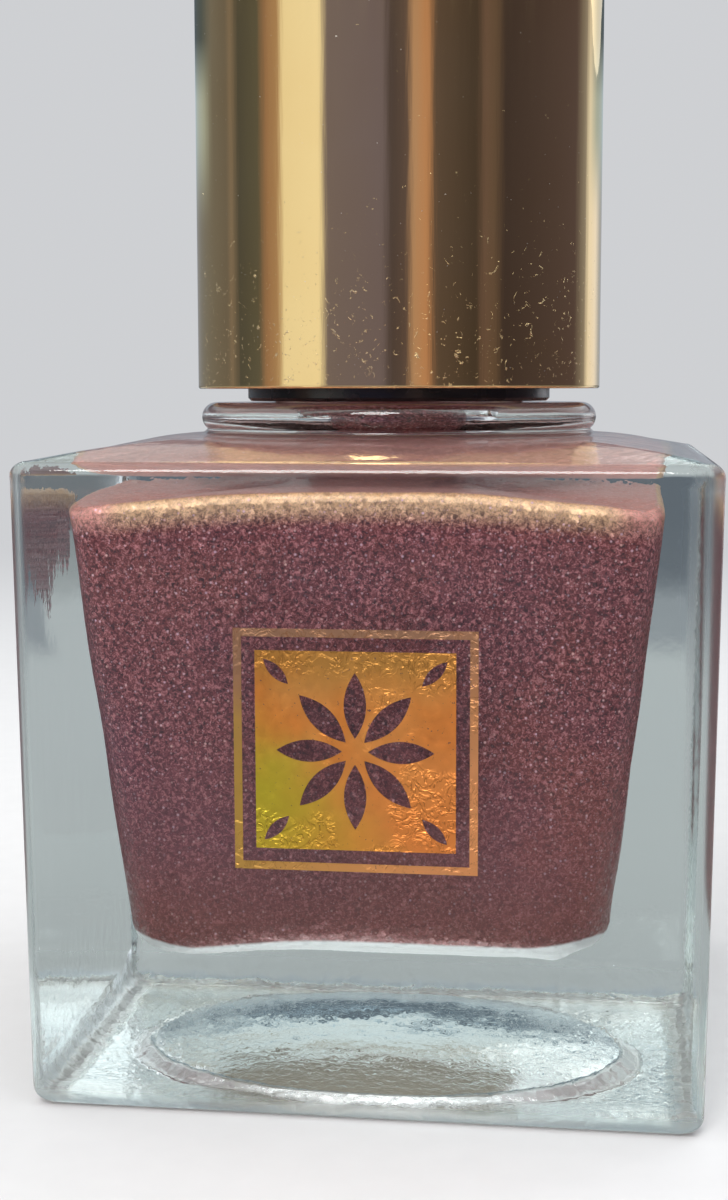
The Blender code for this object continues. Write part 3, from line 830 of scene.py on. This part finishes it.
def millimetres(tree, stretch=(1, 1, 1)):
    """Object coordinates in millimetres."""
    place = add(tree, "ShaderNodeTexCoord").outputs["Object"]
    return vector_maths("MULTIPLY", place, tuple(c / MM for c in stretch))


def noise_at(place, per_mm, detail=3.0, rough=0.5, distortion=0.0):
    return add(
        place.id_data, "ShaderNodeTexNoise", Vector=place, Scale=per_mm, Detail=detail,
        Roughness=rough, Distortion=distortion,
    ).outputs["Fac"]


def ramp(value, low, high, start=0.0, end=1.0):
    """A smooth step from `start`, where the value is `low`, to `end`, where it is `high`."""
    node = add(value.id_data, "ShaderNodeMapRange", {"interpolation_type": "SMOOTHSTEP"}, Value=value)
    for name, limit in (("From Min", low), ("From Max", high), ("To Min", start), ("To Max", end)):
        node.inputs[name].default_value = limit
    return node.outputs["Result"]


def blend(share, first, second):
    """A colour that goes from the first to the second as the share goes from 0 to 1."""
    node = add(share.id_data, "ShaderNodeMix", {"data_type": "RGBA"}, i0=share)
    for index, value in ((6, first), (7, second)):
        feed(node.inputs[index], (*value, 1.0) if isinstance(value, tuple) else value)
    return node.outputs[2]


def bump(height, distance, normal=None):
    """A bump whose height of 1 stands `distance` millimetres out."""
    node = add(height.id_data, "ShaderNodeBump", Height=height, Strength=1.0, Distance=distance * MM)
    if normal is not None:
        feed(node.inputs["Normal"], normal)
    return node.outputs[0]


# ---- materials

GLASS_COLOUR = (0.985, 0.995, 0.995, 1)
GLASS_IOR = 1.52
GLASS_TINT = (0.72, 0.93, 0.92, 1)
GLASS_TINT_DENSITY = 14.0
FLAKE_RARITY = 0.6  # only flakes whose dice fall above this share show as glints
FLAKES_PER_MM = 4.6
FINE_FLAKES_PER_MM = 8.5


def glass_material():
    """Clear pressed glass: frosty at its foot, rippled near the base and shoulder, and smudged."""
    material, tree, shader = new_material("pressed_glass")
    place = millimetres(tree)
    depth, up = axis_of(place, 1), axis_of(place, 2)
    far_x, far_y = size_of(axis_of(place, 0)), size_of(depth)
    foot = ramp(minus(up, times(ramp(depth, 10.0, 13.0), 0.7)), 1.4, 0.4)
    radius = vector_maths("LENGTH", millimetres(tree, (1, 1, 0)), output="Value")
    wall = times(ramp(radius, 11.1, 11.4), ramp(radius, 12.3, 12.0))
    edge = ramp(larger(far_x, far_y), 13.2, 13.9)
    heel = times(larger(edge, wall), foot)
    smudge = ramp(noise_at(place, 0.35, 4.0, 0.6), 0.5, 0.75, 0.0, 0.05)
    brow = times(ramp(up, 28.3, 28.6), ramp(up, 29.6, 29.3))
    corner = ramp(smaller(far_x, far_y), 14.0, 14.4, 0.0, 0.28)
    dull = larger(plus(times(foot, 0.13), times(heel, 0.3)), times(brow, 0.1))
    wave, ripple = noise_at(place, 0.22, 1.0), noise_at(place, 0.9, 3.0)
    strength = larger(ramp(up, 6.0, 4.5, 0.15, 1.0), ramp(up, 26.6, 28.4))
    soft = bump(times(ripple, strength), 0.03, bump(wave, 0.02))
    frost = times(noise_at(place, 2.4, 3.0, 0.6, 0.6), foot)
    crinkle = times(noise_at(place, 0.8, 1.5, 0.45, 0.6), heel)
    crinkled = bump(crinkle, 0.28, bump(frost, 0.04, soft))
    across = times(far_y, 1 / BODY_HALF_TOP)
    sink = times(minus(times(across, across), 1.0), ramp(far_x, 13.9, 14.4))
    rough = larger(smudge, larger(dull, corner))
    look(shader, GLASS_COLOUR, rough, bump(sink, SIDE_SINK, crinkled))
    shader.inputs["Transmission Weight"].default_value = 1.0
    shader.inputs["IOR"].default_value = GLASS_IOR
    tint = add(tree, "ShaderNodeVolumeAbsorption", Color=GLASS_TINT, Density=GLASS_TINT_DENSITY)
    feed(tree.nodes["Material Output"].inputs["Volume"], tint.outputs[0])
    return material


def flake_glints(place, per_mm):
    """Spots at the middle of the flakes that catch the light."""
    flakes = add(place.id_data, "ShaderNodeTexVoronoi", Vector=place, Scale=per_mm).outputs
    dice = add(place.id_data, "ShaderNodeSeparateColor", Color=flakes["Color"]).outputs[0]
    return times(ramp(dice, FLAKE_RARITY, 1.0), ramp(flakes["Distance"], 0.36, 0.14))


def rim_light_band(place, tilt, mottle):
    """Where painted light lies on the lacquer's upper edge and a band below it, and how near that is
    to a corner.
    """
    side, depth, up = size_of(axis_of(place, 0)), size_of(axis_of(place, 1)), axis_of(place, 2)
    near = over(smaller(side, depth), larger(side, depth))
    rim = minus(CEILING_MIDDLE - CAVITY_TOP_EDGE, times(times(near, near), CEILING_CORNER_DROP))
    under = plus(minus(rim, up), times(minus(0.5, mottle), 1.6))
    round_part = times(ramp(tilt, 0.05, 0.3), ramp(tilt, 0.985, 0.93))
    light_below_rim = times(ramp(under, 1.05, -0.2), ramp(tilt, 0.9, 0.5))
    return times(larger(round_part, light_below_rim), ramp(up, 28.0, 27.6)), ramp(near, 0.78, 0.93)


def lacquer_ground(place, mottle, grainy):
    """Mauve-brown, more violet low on the left and redder at the bottom, with a fine mottle."""
    up = axis_of(place, 2)
    cloud = noise_at(place, 0.16, 3.0, 0.6)
    low_left = plus(axis_of(place, 0), up)
    ground = blend(ramp(cloud, 0.35, 0.65), (0.26, 0.058, 0.075), (0.3, 0.066, 0.06))
    ground = blend(ramp(low_left, 18.0, 2.0, 0.0, 0.6), ground, (0.2, 0.056, 0.1))
    ground = blend(ramp(up, 12.5, 7.0, 0.0, 0.8), ground, (0.25, 0.062, 0.045))
    dark, pale = ramp(mottle, 0.36, 0.51, 0.95, 0.0), ramp(mottle, 0.51, 0.62, 0.0, 0.9)
    ground = blend(times(dark, grainy), ground, (0.06, 0.016, 0.026))
    return blend(times(pale, grainy), ground, (0.72, 0.28, 0.3))


def lacquer_material():
    """Pearl lacquer with flakes, painted glints, painted light on its top and gold upper edge, and a
    painted white line and tan reflection underneath.
    """
    if "flaked_lacquer" in bpy.data.materials:
        return bpy.data.materials["flaked_lacquer"]
    material, tree, shader = new_material("flaked_lacquer")
    place = millimetres(tree)
    mottle = noise_at(place, 6.2, 4.0, 0.7, 0.8)
    grainy = ramp(axis_of(place, 2), 8.0, 19.0, 0.35, 1.0)
    facing = add(tree, "ShaderNodeNewGeometry").outputs["Normal"]
    tilt = axis_of(facing, 2)
    rim_light, corner = rim_light_band(place, tilt, mottle)
    rim_light_colour = blend(corner, (1.0, 0.67, 0.4), (1.0, 0.48, 0.42))
    rim_light_colour = blend(ramp(mottle, 0.35, 0.6, 0.55, 0.0), rim_light_colour, (0.4, 0.2, 0.15))
    painted_top_light = ramp(tilt, 0.9, 0.98)
    # Faces that look up are painted paler: painted light on the top of the lacquer.
    colour = blend(times(painted_top_light, 0.8), lacquer_ground(place, mottle, grainy), (0.9, 0.5, 0.45))
    # The upper edge and the band below it are painted gold: painted light caught there.
    colour = blend(rim_light, colour, rim_light_colour)
    # Faces that look straight down are painted tan: a painted reflection under the lacquer.
    colour = blend(ramp(tilt, -0.99, -0.998), colour, (0.24, 0.2, 0.15))
    spark, fine = flake_glints(place, FLAKES_PER_MM), flake_glints(place, FINE_FLAKES_PER_MM)
    hue = add(tree, "ShaderNodeTexVoronoi", Vector=place, Scale=FLAKES_PER_MM).outputs["Color"]
    dice = add(tree, "ShaderNodeSeparateColor", Color=hue).outputs[1]
    glint_tint = blend(dice, (1.0, 0.62, 0.56), (0.95, 0.66, 0.82))
    # The flakes' centres are painted pale: painted glints over the real flakes.
    colour = blend(times(larger(spark, times(fine, 0.7)), grainy), colour, glint_tint)
    # A painted highlight: a white line along the lacquer's rounded bottom edge and up round its
    # corners.
    sideways = times(size_of(axis_of(facing, 0)), 0.35)
    bright = times(ramp(minus(tilt, sideways), -0.7, -0.8), ramp(tilt, -0.998, -0.99))
    colour = blend(bright, colour, (0.95, 0.97, 0.97))
    rough = larger(ramp(mottle, 0.3, 0.7, 0.5, 0.3), times(rim_light, 0.5))
    metal = larger(larger(times(rim_light, 0.6), times(painted_top_light, 0.3)), 0.25)
    shift = vector_maths("MULTIPLY_ADD", hue, (0.5, 0.5, 0.5), (-0.25, -0.25, -0.25))
    calm = add(tree, "ShaderNodeVectorMath", {"operation": "SCALE"}, Vector=shift)
    feed(calm.inputs["Scale"], ramp(rim_light, 0.0, 1.0, 1.0, 0.65))
    normal = vector_maths("NORMALIZE", vector_maths("ADD", facing, calm.outputs[0]))
    look(shader, colour, rough, normal, times(metal, minus(1.0, bright)))
    shader.inputs["Coat Weight"].default_value = 0.2
    shader.inputs["Coat Roughness"].default_value = 0.05
    return material


def gold_material():
    """Mirror gold with fine scratches all over and dried specks on the lower third."""
    material, tree, shader = new_material("polished_gold")
    place = millimetres(tree)
    specks = noise_at(place, 2.6, 5.0, 0.7, 1.2)
    lower = ramp(axis_of(place, 2), SHELL_LOW.z + 11.0, SHELL_LOW.z + 2.0, 0.72, 0.63)
    mark = ramp(minus(specks, lower), 0.0, 0.03)
    dust = ramp(noise_at(place, 7.0, 2.0), 0.75, 0.79)
    tint = blend(ramp(noise_at(place, 0.1), 0.3, 0.7), (0.86, 0.66, 0.33), (0.82, 0.6, 0.28))
    tint = blend(times(mark, 0.35), tint, (0.9, 0.8, 0.6))
    brushed = noise_at(millimetres(tree, (1.0, 1.0, 0.06)), 3.0, 3.0)
    rough = larger(ramp(brushed, 0.3, 0.8, 0.035, 0.09), times(mark, 0.22))
    rough = larger(rough, times(dust, 0.45))
    normal = bump(brushed, 0.003, bump(mark, 0.02))
    look(shader, blend(dust, tint, (0.8, 0.74, 0.62)), rough, normal, 1.0)
    return material


def foil_finish(name, tones, wrinkle):
    """Stamped foil: drifting tones, pinholes, patches of creases with painted shade in them and a
    soft metal gloss.
    """
    material, tree, shader = new_material(name)
    place = millimetres(tree)
    across, up = axis_of(place, 0), axis_of(place, 2)
    drift = noise_at(place, 0.35, 2.0)
    body, low_left, top, glow, warm = tones
    side = plus(plus(times(across, -1.0), times(up, -1.0)), times(drift, 5.0))
    colour = blend(ramp(drift, 0.35, 0.7), body, glow)
    colour = blend(ramp(side, -13.0, -8.0), colour, low_left)
    colour = blend(ramp(plus(up, drift), 18.5, 20.8, 0.0, 0.7), colour, top)
    colour = blend(ramp(minus(across, up), -19.0, -8.0, 0.0, 0.85), colour, warm)
    creases = noise_at(place, 1.5, 3.0, 0.6, 1.8)
    patch = larger(ramp(noise_at(place, 0.3, 1.0), 0.5, 0.6), ramp(up, 19.0, 20.6))
    crease_shade = times(ramp(size_of(minus(creases, 0.5)), 0.016, 0.004), patch)
    # Painted shade darkens the lines of the creases.
    colour = blend(times(crease_shade, 0.6), colour, (0.3, 0.1, 0.03))
    holes = ramp(noise_at(place, 7.0, 3.0, 0.65), 0.66, 0.72)
    grain = noise_at(place, 2.2, 4.0, 0.6)
    relief = plus(grain, times(ramp(creases, 0.42, 0.58), patch))
    look(
        shader, blend(holes, colour, (0.12, 0.05, 0.05)), ramp(grain, 0.2, 0.8, 0.28, 0.5),
        bump(relief, wrinkle), ramp(holes, 0.0, 1.0, 0.85, 0.2),
    )
    return material


def panel_foil_material():
    body, low_left, top = (0.86, 0.3, 0.06), (0.62, 0.5, 0.04), (0.5, 0.27, 0.06)
    glow, warm = (0.95, 0.4, 0.1), (0.98, 0.32, 0.08)
    return foil_finish("stamped_panel", (body, low_left, top, glow, warm), 0.05)


def line_foil_material():
    body, low_left, top = (0.5, 0.26, 0.12), (0.6, 0.36, 0.08), (0.4, 0.22, 0.14)
    glow, warm = (0.62, 0.32, 0.15), (1.0, 0.42, 0.16)
    return foil_finish("stamped_line", (body, low_left, top, glow, warm), 0.03)


def black_material():
    """Moulded black plastic: slight orange peel, finger marks and a few pale scuffs."""
    material, tree, shader = new_material("closure_black")
    place = millimetres(tree)
    scuff = ramp(noise_at(place, 1.8, 5.0, 0.7, 0.8), 0.6, 0.72)
    colour = blend(scuff, (0.012, 0.01, 0.012), (0.06, 0.055, 0.06))
    rough = ramp(noise_at(place, 0.6, 3.0), 0.3, 0.7, 0.16, 0.34)
    look(shader, colour, rough, bump(noise_at(place, 3.0, 2.0), 0.01))
    return material


def wand_material():
    """Black plastic, coated with lacquer up to where it dips."""
    material, tree, shader = new_material("wand_plastic")
    place = millimetres(tree)
    wet = ramp(plus(axis_of(place, 2), times(noise_at(place, 0.5), 6.0)), 38.0, 37.4)
    flakes = add(tree, "ShaderNodeTexVoronoi", Vector=place, Scale=11.0).outputs["Color"]
    shine = ramp(add(tree, "ShaderNodeSeparateColor", Color=flakes).outputs[0], 0.88, 0.98)
    # Some flakes in the lacquer coat are painted pale: painted glints.
    coat = blend(shine, (0.17, 0.065, 0.075), (0.7, 0.45, 0.45))
    streaks = noise_at(millimetres(tree, (1, 1, 0.2)), 1.4, 3.0)
    look(
        shader, blend(wet, (0.014, 0.012, 0.014), coat), ramp(streaks, 0.3, 0.7, 0.12, 0.32),
        bump(times(wet, streaks), 0.08), ramp(wet, 0.0, 1.0, 0.0, 0.4),
    )
    return material


def bristle_material():
    """Nylon filaments soaked in lacquer, with bare paler stretches."""
    material, tree, shader = new_material("wet_bristle")
    place = millimetres(tree, (1, 1, 0.15))
    bare = ramp(noise_at(place, 2.4, 3.0), 0.58, 0.7, 0.0, 0.7)
    colour = blend(bare, (0.15, 0.055, 0.062), (0.34, 0.2, 0.2))
    rough = ramp(noise_at(place, 5.0), 0.3, 0.7, 0.18, 0.4)
    look(shader, colour, rough, bump(noise_at(place, 8.0), 0.01))
    shader.inputs["Coat Weight"].default_value = 0.5
    return material


def sleeve_material():
    """Natural white plastic, faintly clouded."""
    material, tree, shader = new_material("sleeve_white")
    place = millimetres(tree)
    cloud = noise_at(place, 0.4, 3.0)
    colour = blend(cloud, (0.72, 0.71, 0.67), (0.8, 0.79, 0.76))
    look(shader, colour, ramp(cloud, 0.3, 0.7, 0.42, 0.58), bump(noise_at(place, 5.0), 0.01))
    shader.inputs["Subsurface Weight"].default_value = 0.15
    shader.inputs["Subsurface Scale"].default_value = 0.5 * MM
    return material


def liner_material():
    """Closed-cell foam, stained where lacquer has reached the rim of the neck."""
    material, tree, shader = new_material("foam_disc")
    place = millimetres(tree)
    cells = add(tree, "ShaderNodeTexVoronoi", Vector=place, Scale=7.0).outputs["Distance"]
    stain = ramp(noise_at(place, 0.9, 4.0), 0.5, 0.62, 0.0, 0.8)
    colour = blend(stain, (0.8, 0.79, 0.75), (0.3, 0.14, 0.15))
    look(shader, colour, ramp(cells, 0.0, 0.8, 0.75, 0.6), bump(cells, 0.02))
    return material


def metal_material(name, dark, pale, per_mm):
    """Worn bright metal with a lacquer stain here and there."""
    material, tree, shader = new_material(name)
    place = millimetres(tree)
    wear = noise_at(place, per_mm, 4.0)
    stain = ramp(noise_at(place, 1.1, 3.0), 0.56, 0.66, 0.0, 0.6)
    colour = blend(stain, blend(wear, dark, pale), (0.18, 0.07, 0.08))
    look(shader, colour, ramp(wear, 0.3, 0.7, 0.1, 0.25), bump(wear, 0.004), 1.0)
    return material


def finish_cad_nodes():
    """The small round steel balls and the anchor keep their CAD shapes."""
    steel = metal_material("worn_steel", (0.5, 0.5, 0.52), (0.68, 0.68, 0.69), 3.0)
    brass = metal_material("anchor_brass", (0.62, 0.45, 0.2), (0.78, 0.6, 0.3), 6.0)
    for name, material in (
        ("mixing_ball_front", steel), ("mixing_ball_back", steel), ("tuft_staple", brass)
    ):
        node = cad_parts[name]
        node.data.materials.clear()
        node.data.materials.append(material)
        if material is steel:
            node.data.shade_smooth()


# ---- studio

CAMERA_PLACE = Vector((10.54, -90.39, 31.4)) * MM
CAMERA_HEADING = 7.73
CAMERA_PITCH = -6.5
CAMERA_ROLL = -0.09
CAMERA_LENS = 55.4
PALE = (0.62, 0.63, 0.65)  # the plain backdrop, as the camera sees it

# What the mirror gold sees round the horizon: degrees to the right of the camera, and the light
HORIZON = [
    (-180, (0.34, 0.36, 0.4)), (-150, (0.22, 0.24, 0.27)), (-112, (0.17, 0.17, 0.2)),
    (-107, (0.24, 0.22, 0.24)), (-100, (0.09, 0.1, 0.12)), (-84, (0.12, 0.13, 0.14)),
    (-78, (0.36, 0.24, 0.2)), (-70, (0.45, 0.33, 0.26)), (-66, (0.95, 0.95, 0.9)),
    (-44, (1.0, 1.0, 0.95)), (-40, (0.2, 0.19, 0.3)), (-9, (0.18, 0.17, 0.3)),
    (-4, (0.09, 0.08, 0.12)), (4, (0.12, 0.1, 0.14)), (8, (0.5, 0.36, 0.34)),
    (15, (0.55, 0.33, 0.26)), (20, (0.12, 0.1, 0.12)), (43, (0.07, 0.06, 0.07)),
    (48, (0.16, 0.12, 0.14)), (54, (0.14, 0.11, 0.12)), (60, (0.06, 0.05, 0.07)),
    (116, (0.1, 0.08, 0.11)), (128, (0.3, 0.3, 0.34)), (134, (0.95, 0.95, 1.0)),
    (146, (0.95, 0.95, 1.0)), (158, (0.42, 0.45, 0.5)), (180, (0.34, 0.36, 0.4)),
]

# What the base reflects from behind the bottle: sine of the height above the horizon, and the light
WINDOW = [
    (0.0, (0.45, 0.55, 0.62)), (0.15, (0.42, 0.53, 0.6)), (0.18, (0.09, 0.12, 0.15)),
    (0.265, (0.1, 0.13, 0.16)), (0.295, (0.46, 0.56, 0.61)), (0.33, (0.66, 0.72, 0.72)),
    (0.47, (0.64, 0.69, 0.68)), (0.55, (0.42, 0.39, 0.33)), (0.72, (0.42, 0.39, 0.33)),
    (0.82, (0.6, 0.62, 0.62)), (1.0, (1.2, 1.23, 1.26)),
]

# Light above the strips of the horizon, straight overhead, and high on the left
SKY, OVERHEAD, LEFT_GLOW = (0.42, 0.43, 0.45), (1.6, 1.63, 1.66), (1.25, 1.25, 1.23)

# The floor as reflections and lamps meet it; only the paper itself is seen by the camera
FLOOR_RADIUS = 3.0
FLOOR_DROP = 0.00002
FLOOR_NEAR, FLOOR_FAR = (0.36, 0.37, 0.37), (0.17, 0.18, 0.19)
FLOOR_UNDER = (3.1, 3.2, 3.2)
FLOOR_SLATE = (0.13, 0.145, 0.165)

# Lamp names, places in metres, widths, watts and colours
LAMPS = (
    ("front_softbox", (-0.07, -0.42, 0.42), 0.24, 1.6, (1.0, 0.98, 0.95)),
    ("back_softbox", (0.25, 0.45, 0.4), 0.6, 0.6, (0.95, 0.98, 1.0)),
)


def light_strips(share, stops):
    """Colours along a share from 0 to 1, from (position, colour) stops."""
    node = add(share.id_data, "ShaderNodeValToRGB", Fac=share)
    elements = node.color_ramp.elements
    while len(elements) < len(stops):
        elements.new(0.5)
    for element, (position, colour) in zip(elements, stops):
        element.position = position
        element.color = (*colour, 1)
    return node.outputs[0]


def horizon_light(parts):
    """How far round the horizon a direction lies, half being at the camera, and the light there."""
    turn = maths("ARCTAN2")(parts[0], times(parts[1], -1.0))
    turn = minus(turn, math.atan2(CAMERA_PLACE.x, -CAMERA_PLACE.y))
    share = maths("FRACT")(plus(over(turn, 2 * math.pi), 0.5))
    stops = [((degrees + 180) / 360, colour) for degrees, colour in HORIZON]
    return share, light_strips(share, stops)


def camera_sees(tree):
    return add(tree, "ShaderNodeLightPath").outputs["Is Camera Ray"]


def make_world():
    """A plain backdrop to the camera, and studio light to everything else."""
    world = bpy.data.worlds.new("studio")
    bpy.context.scene.world = world
    world.use_nodes = True
    tree = world.node_tree
    direction = add(tree, "ShaderNodeTexCoord").outputs["Generated"]
    parts = add(tree, "ShaderNodeSeparateXYZ", Vector=direction).outputs
    rise = parts[2]
    level = larger(maths("SQRT")(minus(1.0, times(rise, rise))), 0.01)
    heading = math.radians(CAMERA_HEADING)
    ahead = (-math.sin(heading), math.cos(heading), 0.0)
    behind = over(vector_maths("DOT_PRODUCT", direction, ahead, output="Value"), level)
    left = over(times(parts[0], -1.0), level)
    sky = blend(ramp(rise, 0.21, 0.25), horizon_light(parts)[1], SKY)
    sky = blend(ramp(rise, 0.5, 0.75), sky, OVERHEAD)
    sky = blend(times(ramp(left, 0.5, 0.85), ramp(rise, 0.24, 0.34)), sky, LEFT_GLOW)
    window = times(ramp(behind, 0.6, 0.85), ramp(rise, 0.08, 0.14))
    sky = blend(window, sky, light_strips(rise, WINDOW))
    background = tree.nodes["Background"]
    feed(background.inputs["Color"], blend(camera_sees(tree), sky, PALE))
    background.inputs["Strength"].default_value = 1.0


def floor_material():
    """Pale paper that fades into the backdrop; reflections also see the studio's strips in it."""
    material, tree, shader = new_material("floor_paper")
    place = add(tree, "ShaderNodeTexCoord").outputs["Object"]
    reach = vector_maths("LENGTH", place, output="Value")
    grain = noise_at(millimetres(tree), 0.5, 5.0)
    feed(shader.inputs["Base Color"], blend(grain, (0.72, 0.72, 0.73), (0.77, 0.77, 0.78)))
    shader.inputs["Roughness"].default_value = 0.7
    seen = camera_sees(tree)
    share, bands = horizon_light(add(tree, "ShaderNodeSeparateXYZ", Vector=place).outputs)
    turn = size_of(minus(share, 0.5))
    glow = blend(ramp(reach, 0.12, 0.7), FLOOR_NEAR, FLOOR_FAR)
    glow = blend(times(ramp(reach, 0.05, 0.1, 0.0, 0.8), ramp(turn, 0.43, 0.39)), glow, bands)
    glow = blend(times(ramp(reach, 0.145, 0.18), ramp(turn, 0.456, 0.461)), glow, FLOOR_SLATE)
    glow = blend(ramp(reach, 0.0135, 0.0115), glow, FLOOR_UNDER)
    glow = add(tree, "ShaderNodeEmission", Color=blend(seen, glow, PALE), Strength=1.0).outputs[0]
    share = larger(ramp(reach, 0.03, 0.3), times(minus(1.0, seen), 0.8))
    mix = add(tree, "ShaderNodeMixShader", Fac=share, i1=shader.outputs[0], i2=glow)
    feed(tree.nodes["Material Output"].inputs["Surface"], mix.outputs[0])
    return material


def make_floor():
    mesh = bpy.data.meshes.new("studio_floor")
    bm = bmesh.new()
    bmesh.ops.create_circle(bm, cap_ends=True, segments=96, radius=FLOOR_RADIUS)
    bmesh.ops.translate(bm, verts=bm.verts, vec=(0, 0, -FLOOR_DROP))
    bm.to_mesh(mesh)
    bm.free()
    mesh.materials.append(floor_material())
    floor = add_object("studio_floor", mesh)


def make_light(name, place, size, watts, colour):
    """A soft round lamp that looks at the middle of the bottle and isn't seen itself."""
    data = bpy.data.lights.new(name, "AREA")
    data.energy = watts
    data.shape = "DISK"
    data.size = size
    data.color = colour
    lamp = add_object(name, data)
    lamp.location = place
    aim = Vector((0, 0, 0.02)) - Vector(place)
    lamp.rotation_euler = aim.to_track_quat("-Z", "Y").to_euler()
    lamp.visible_camera = False


def make_camera():
    data = bpy.data.cameras.new("camera")
    data.lens = CAMERA_LENS
    data.clip_start = 0.002
    data.clip_end = 20
    camera = add_object("camera", data)
    turn = Matrix.Rotation(math.radians(CAMERA_HEADING), 4, "Z")
    lean = Matrix.Rotation(math.radians(90 + CAMERA_PITCH), 4, "X")
    roll = Matrix.Rotation(math.radians(CAMERA_ROLL), 4, "Z")
    camera.matrix_world = Matrix.Translation(CAMERA_PLACE) @ turn @ lean @ roll
    bpy.context.scene.camera = camera


def make_studio():
    make_world()
    make_floor()
    for lamp in LAMPS:
        make_light(*lamp)
    make_camera()
    bpy.context.scene.view_settings.view_transform = "Standard"


# ---- the bottle


make_bottle()
make_lacquer()
make_neck_film()
make_foil_line()
make_foil_panel()
make_shell()
make_sleeve()
make_closure()
make_liner()
make_stem()
make_bristles()
make_brush_load()
finish_cad_nodes()
make_studio()
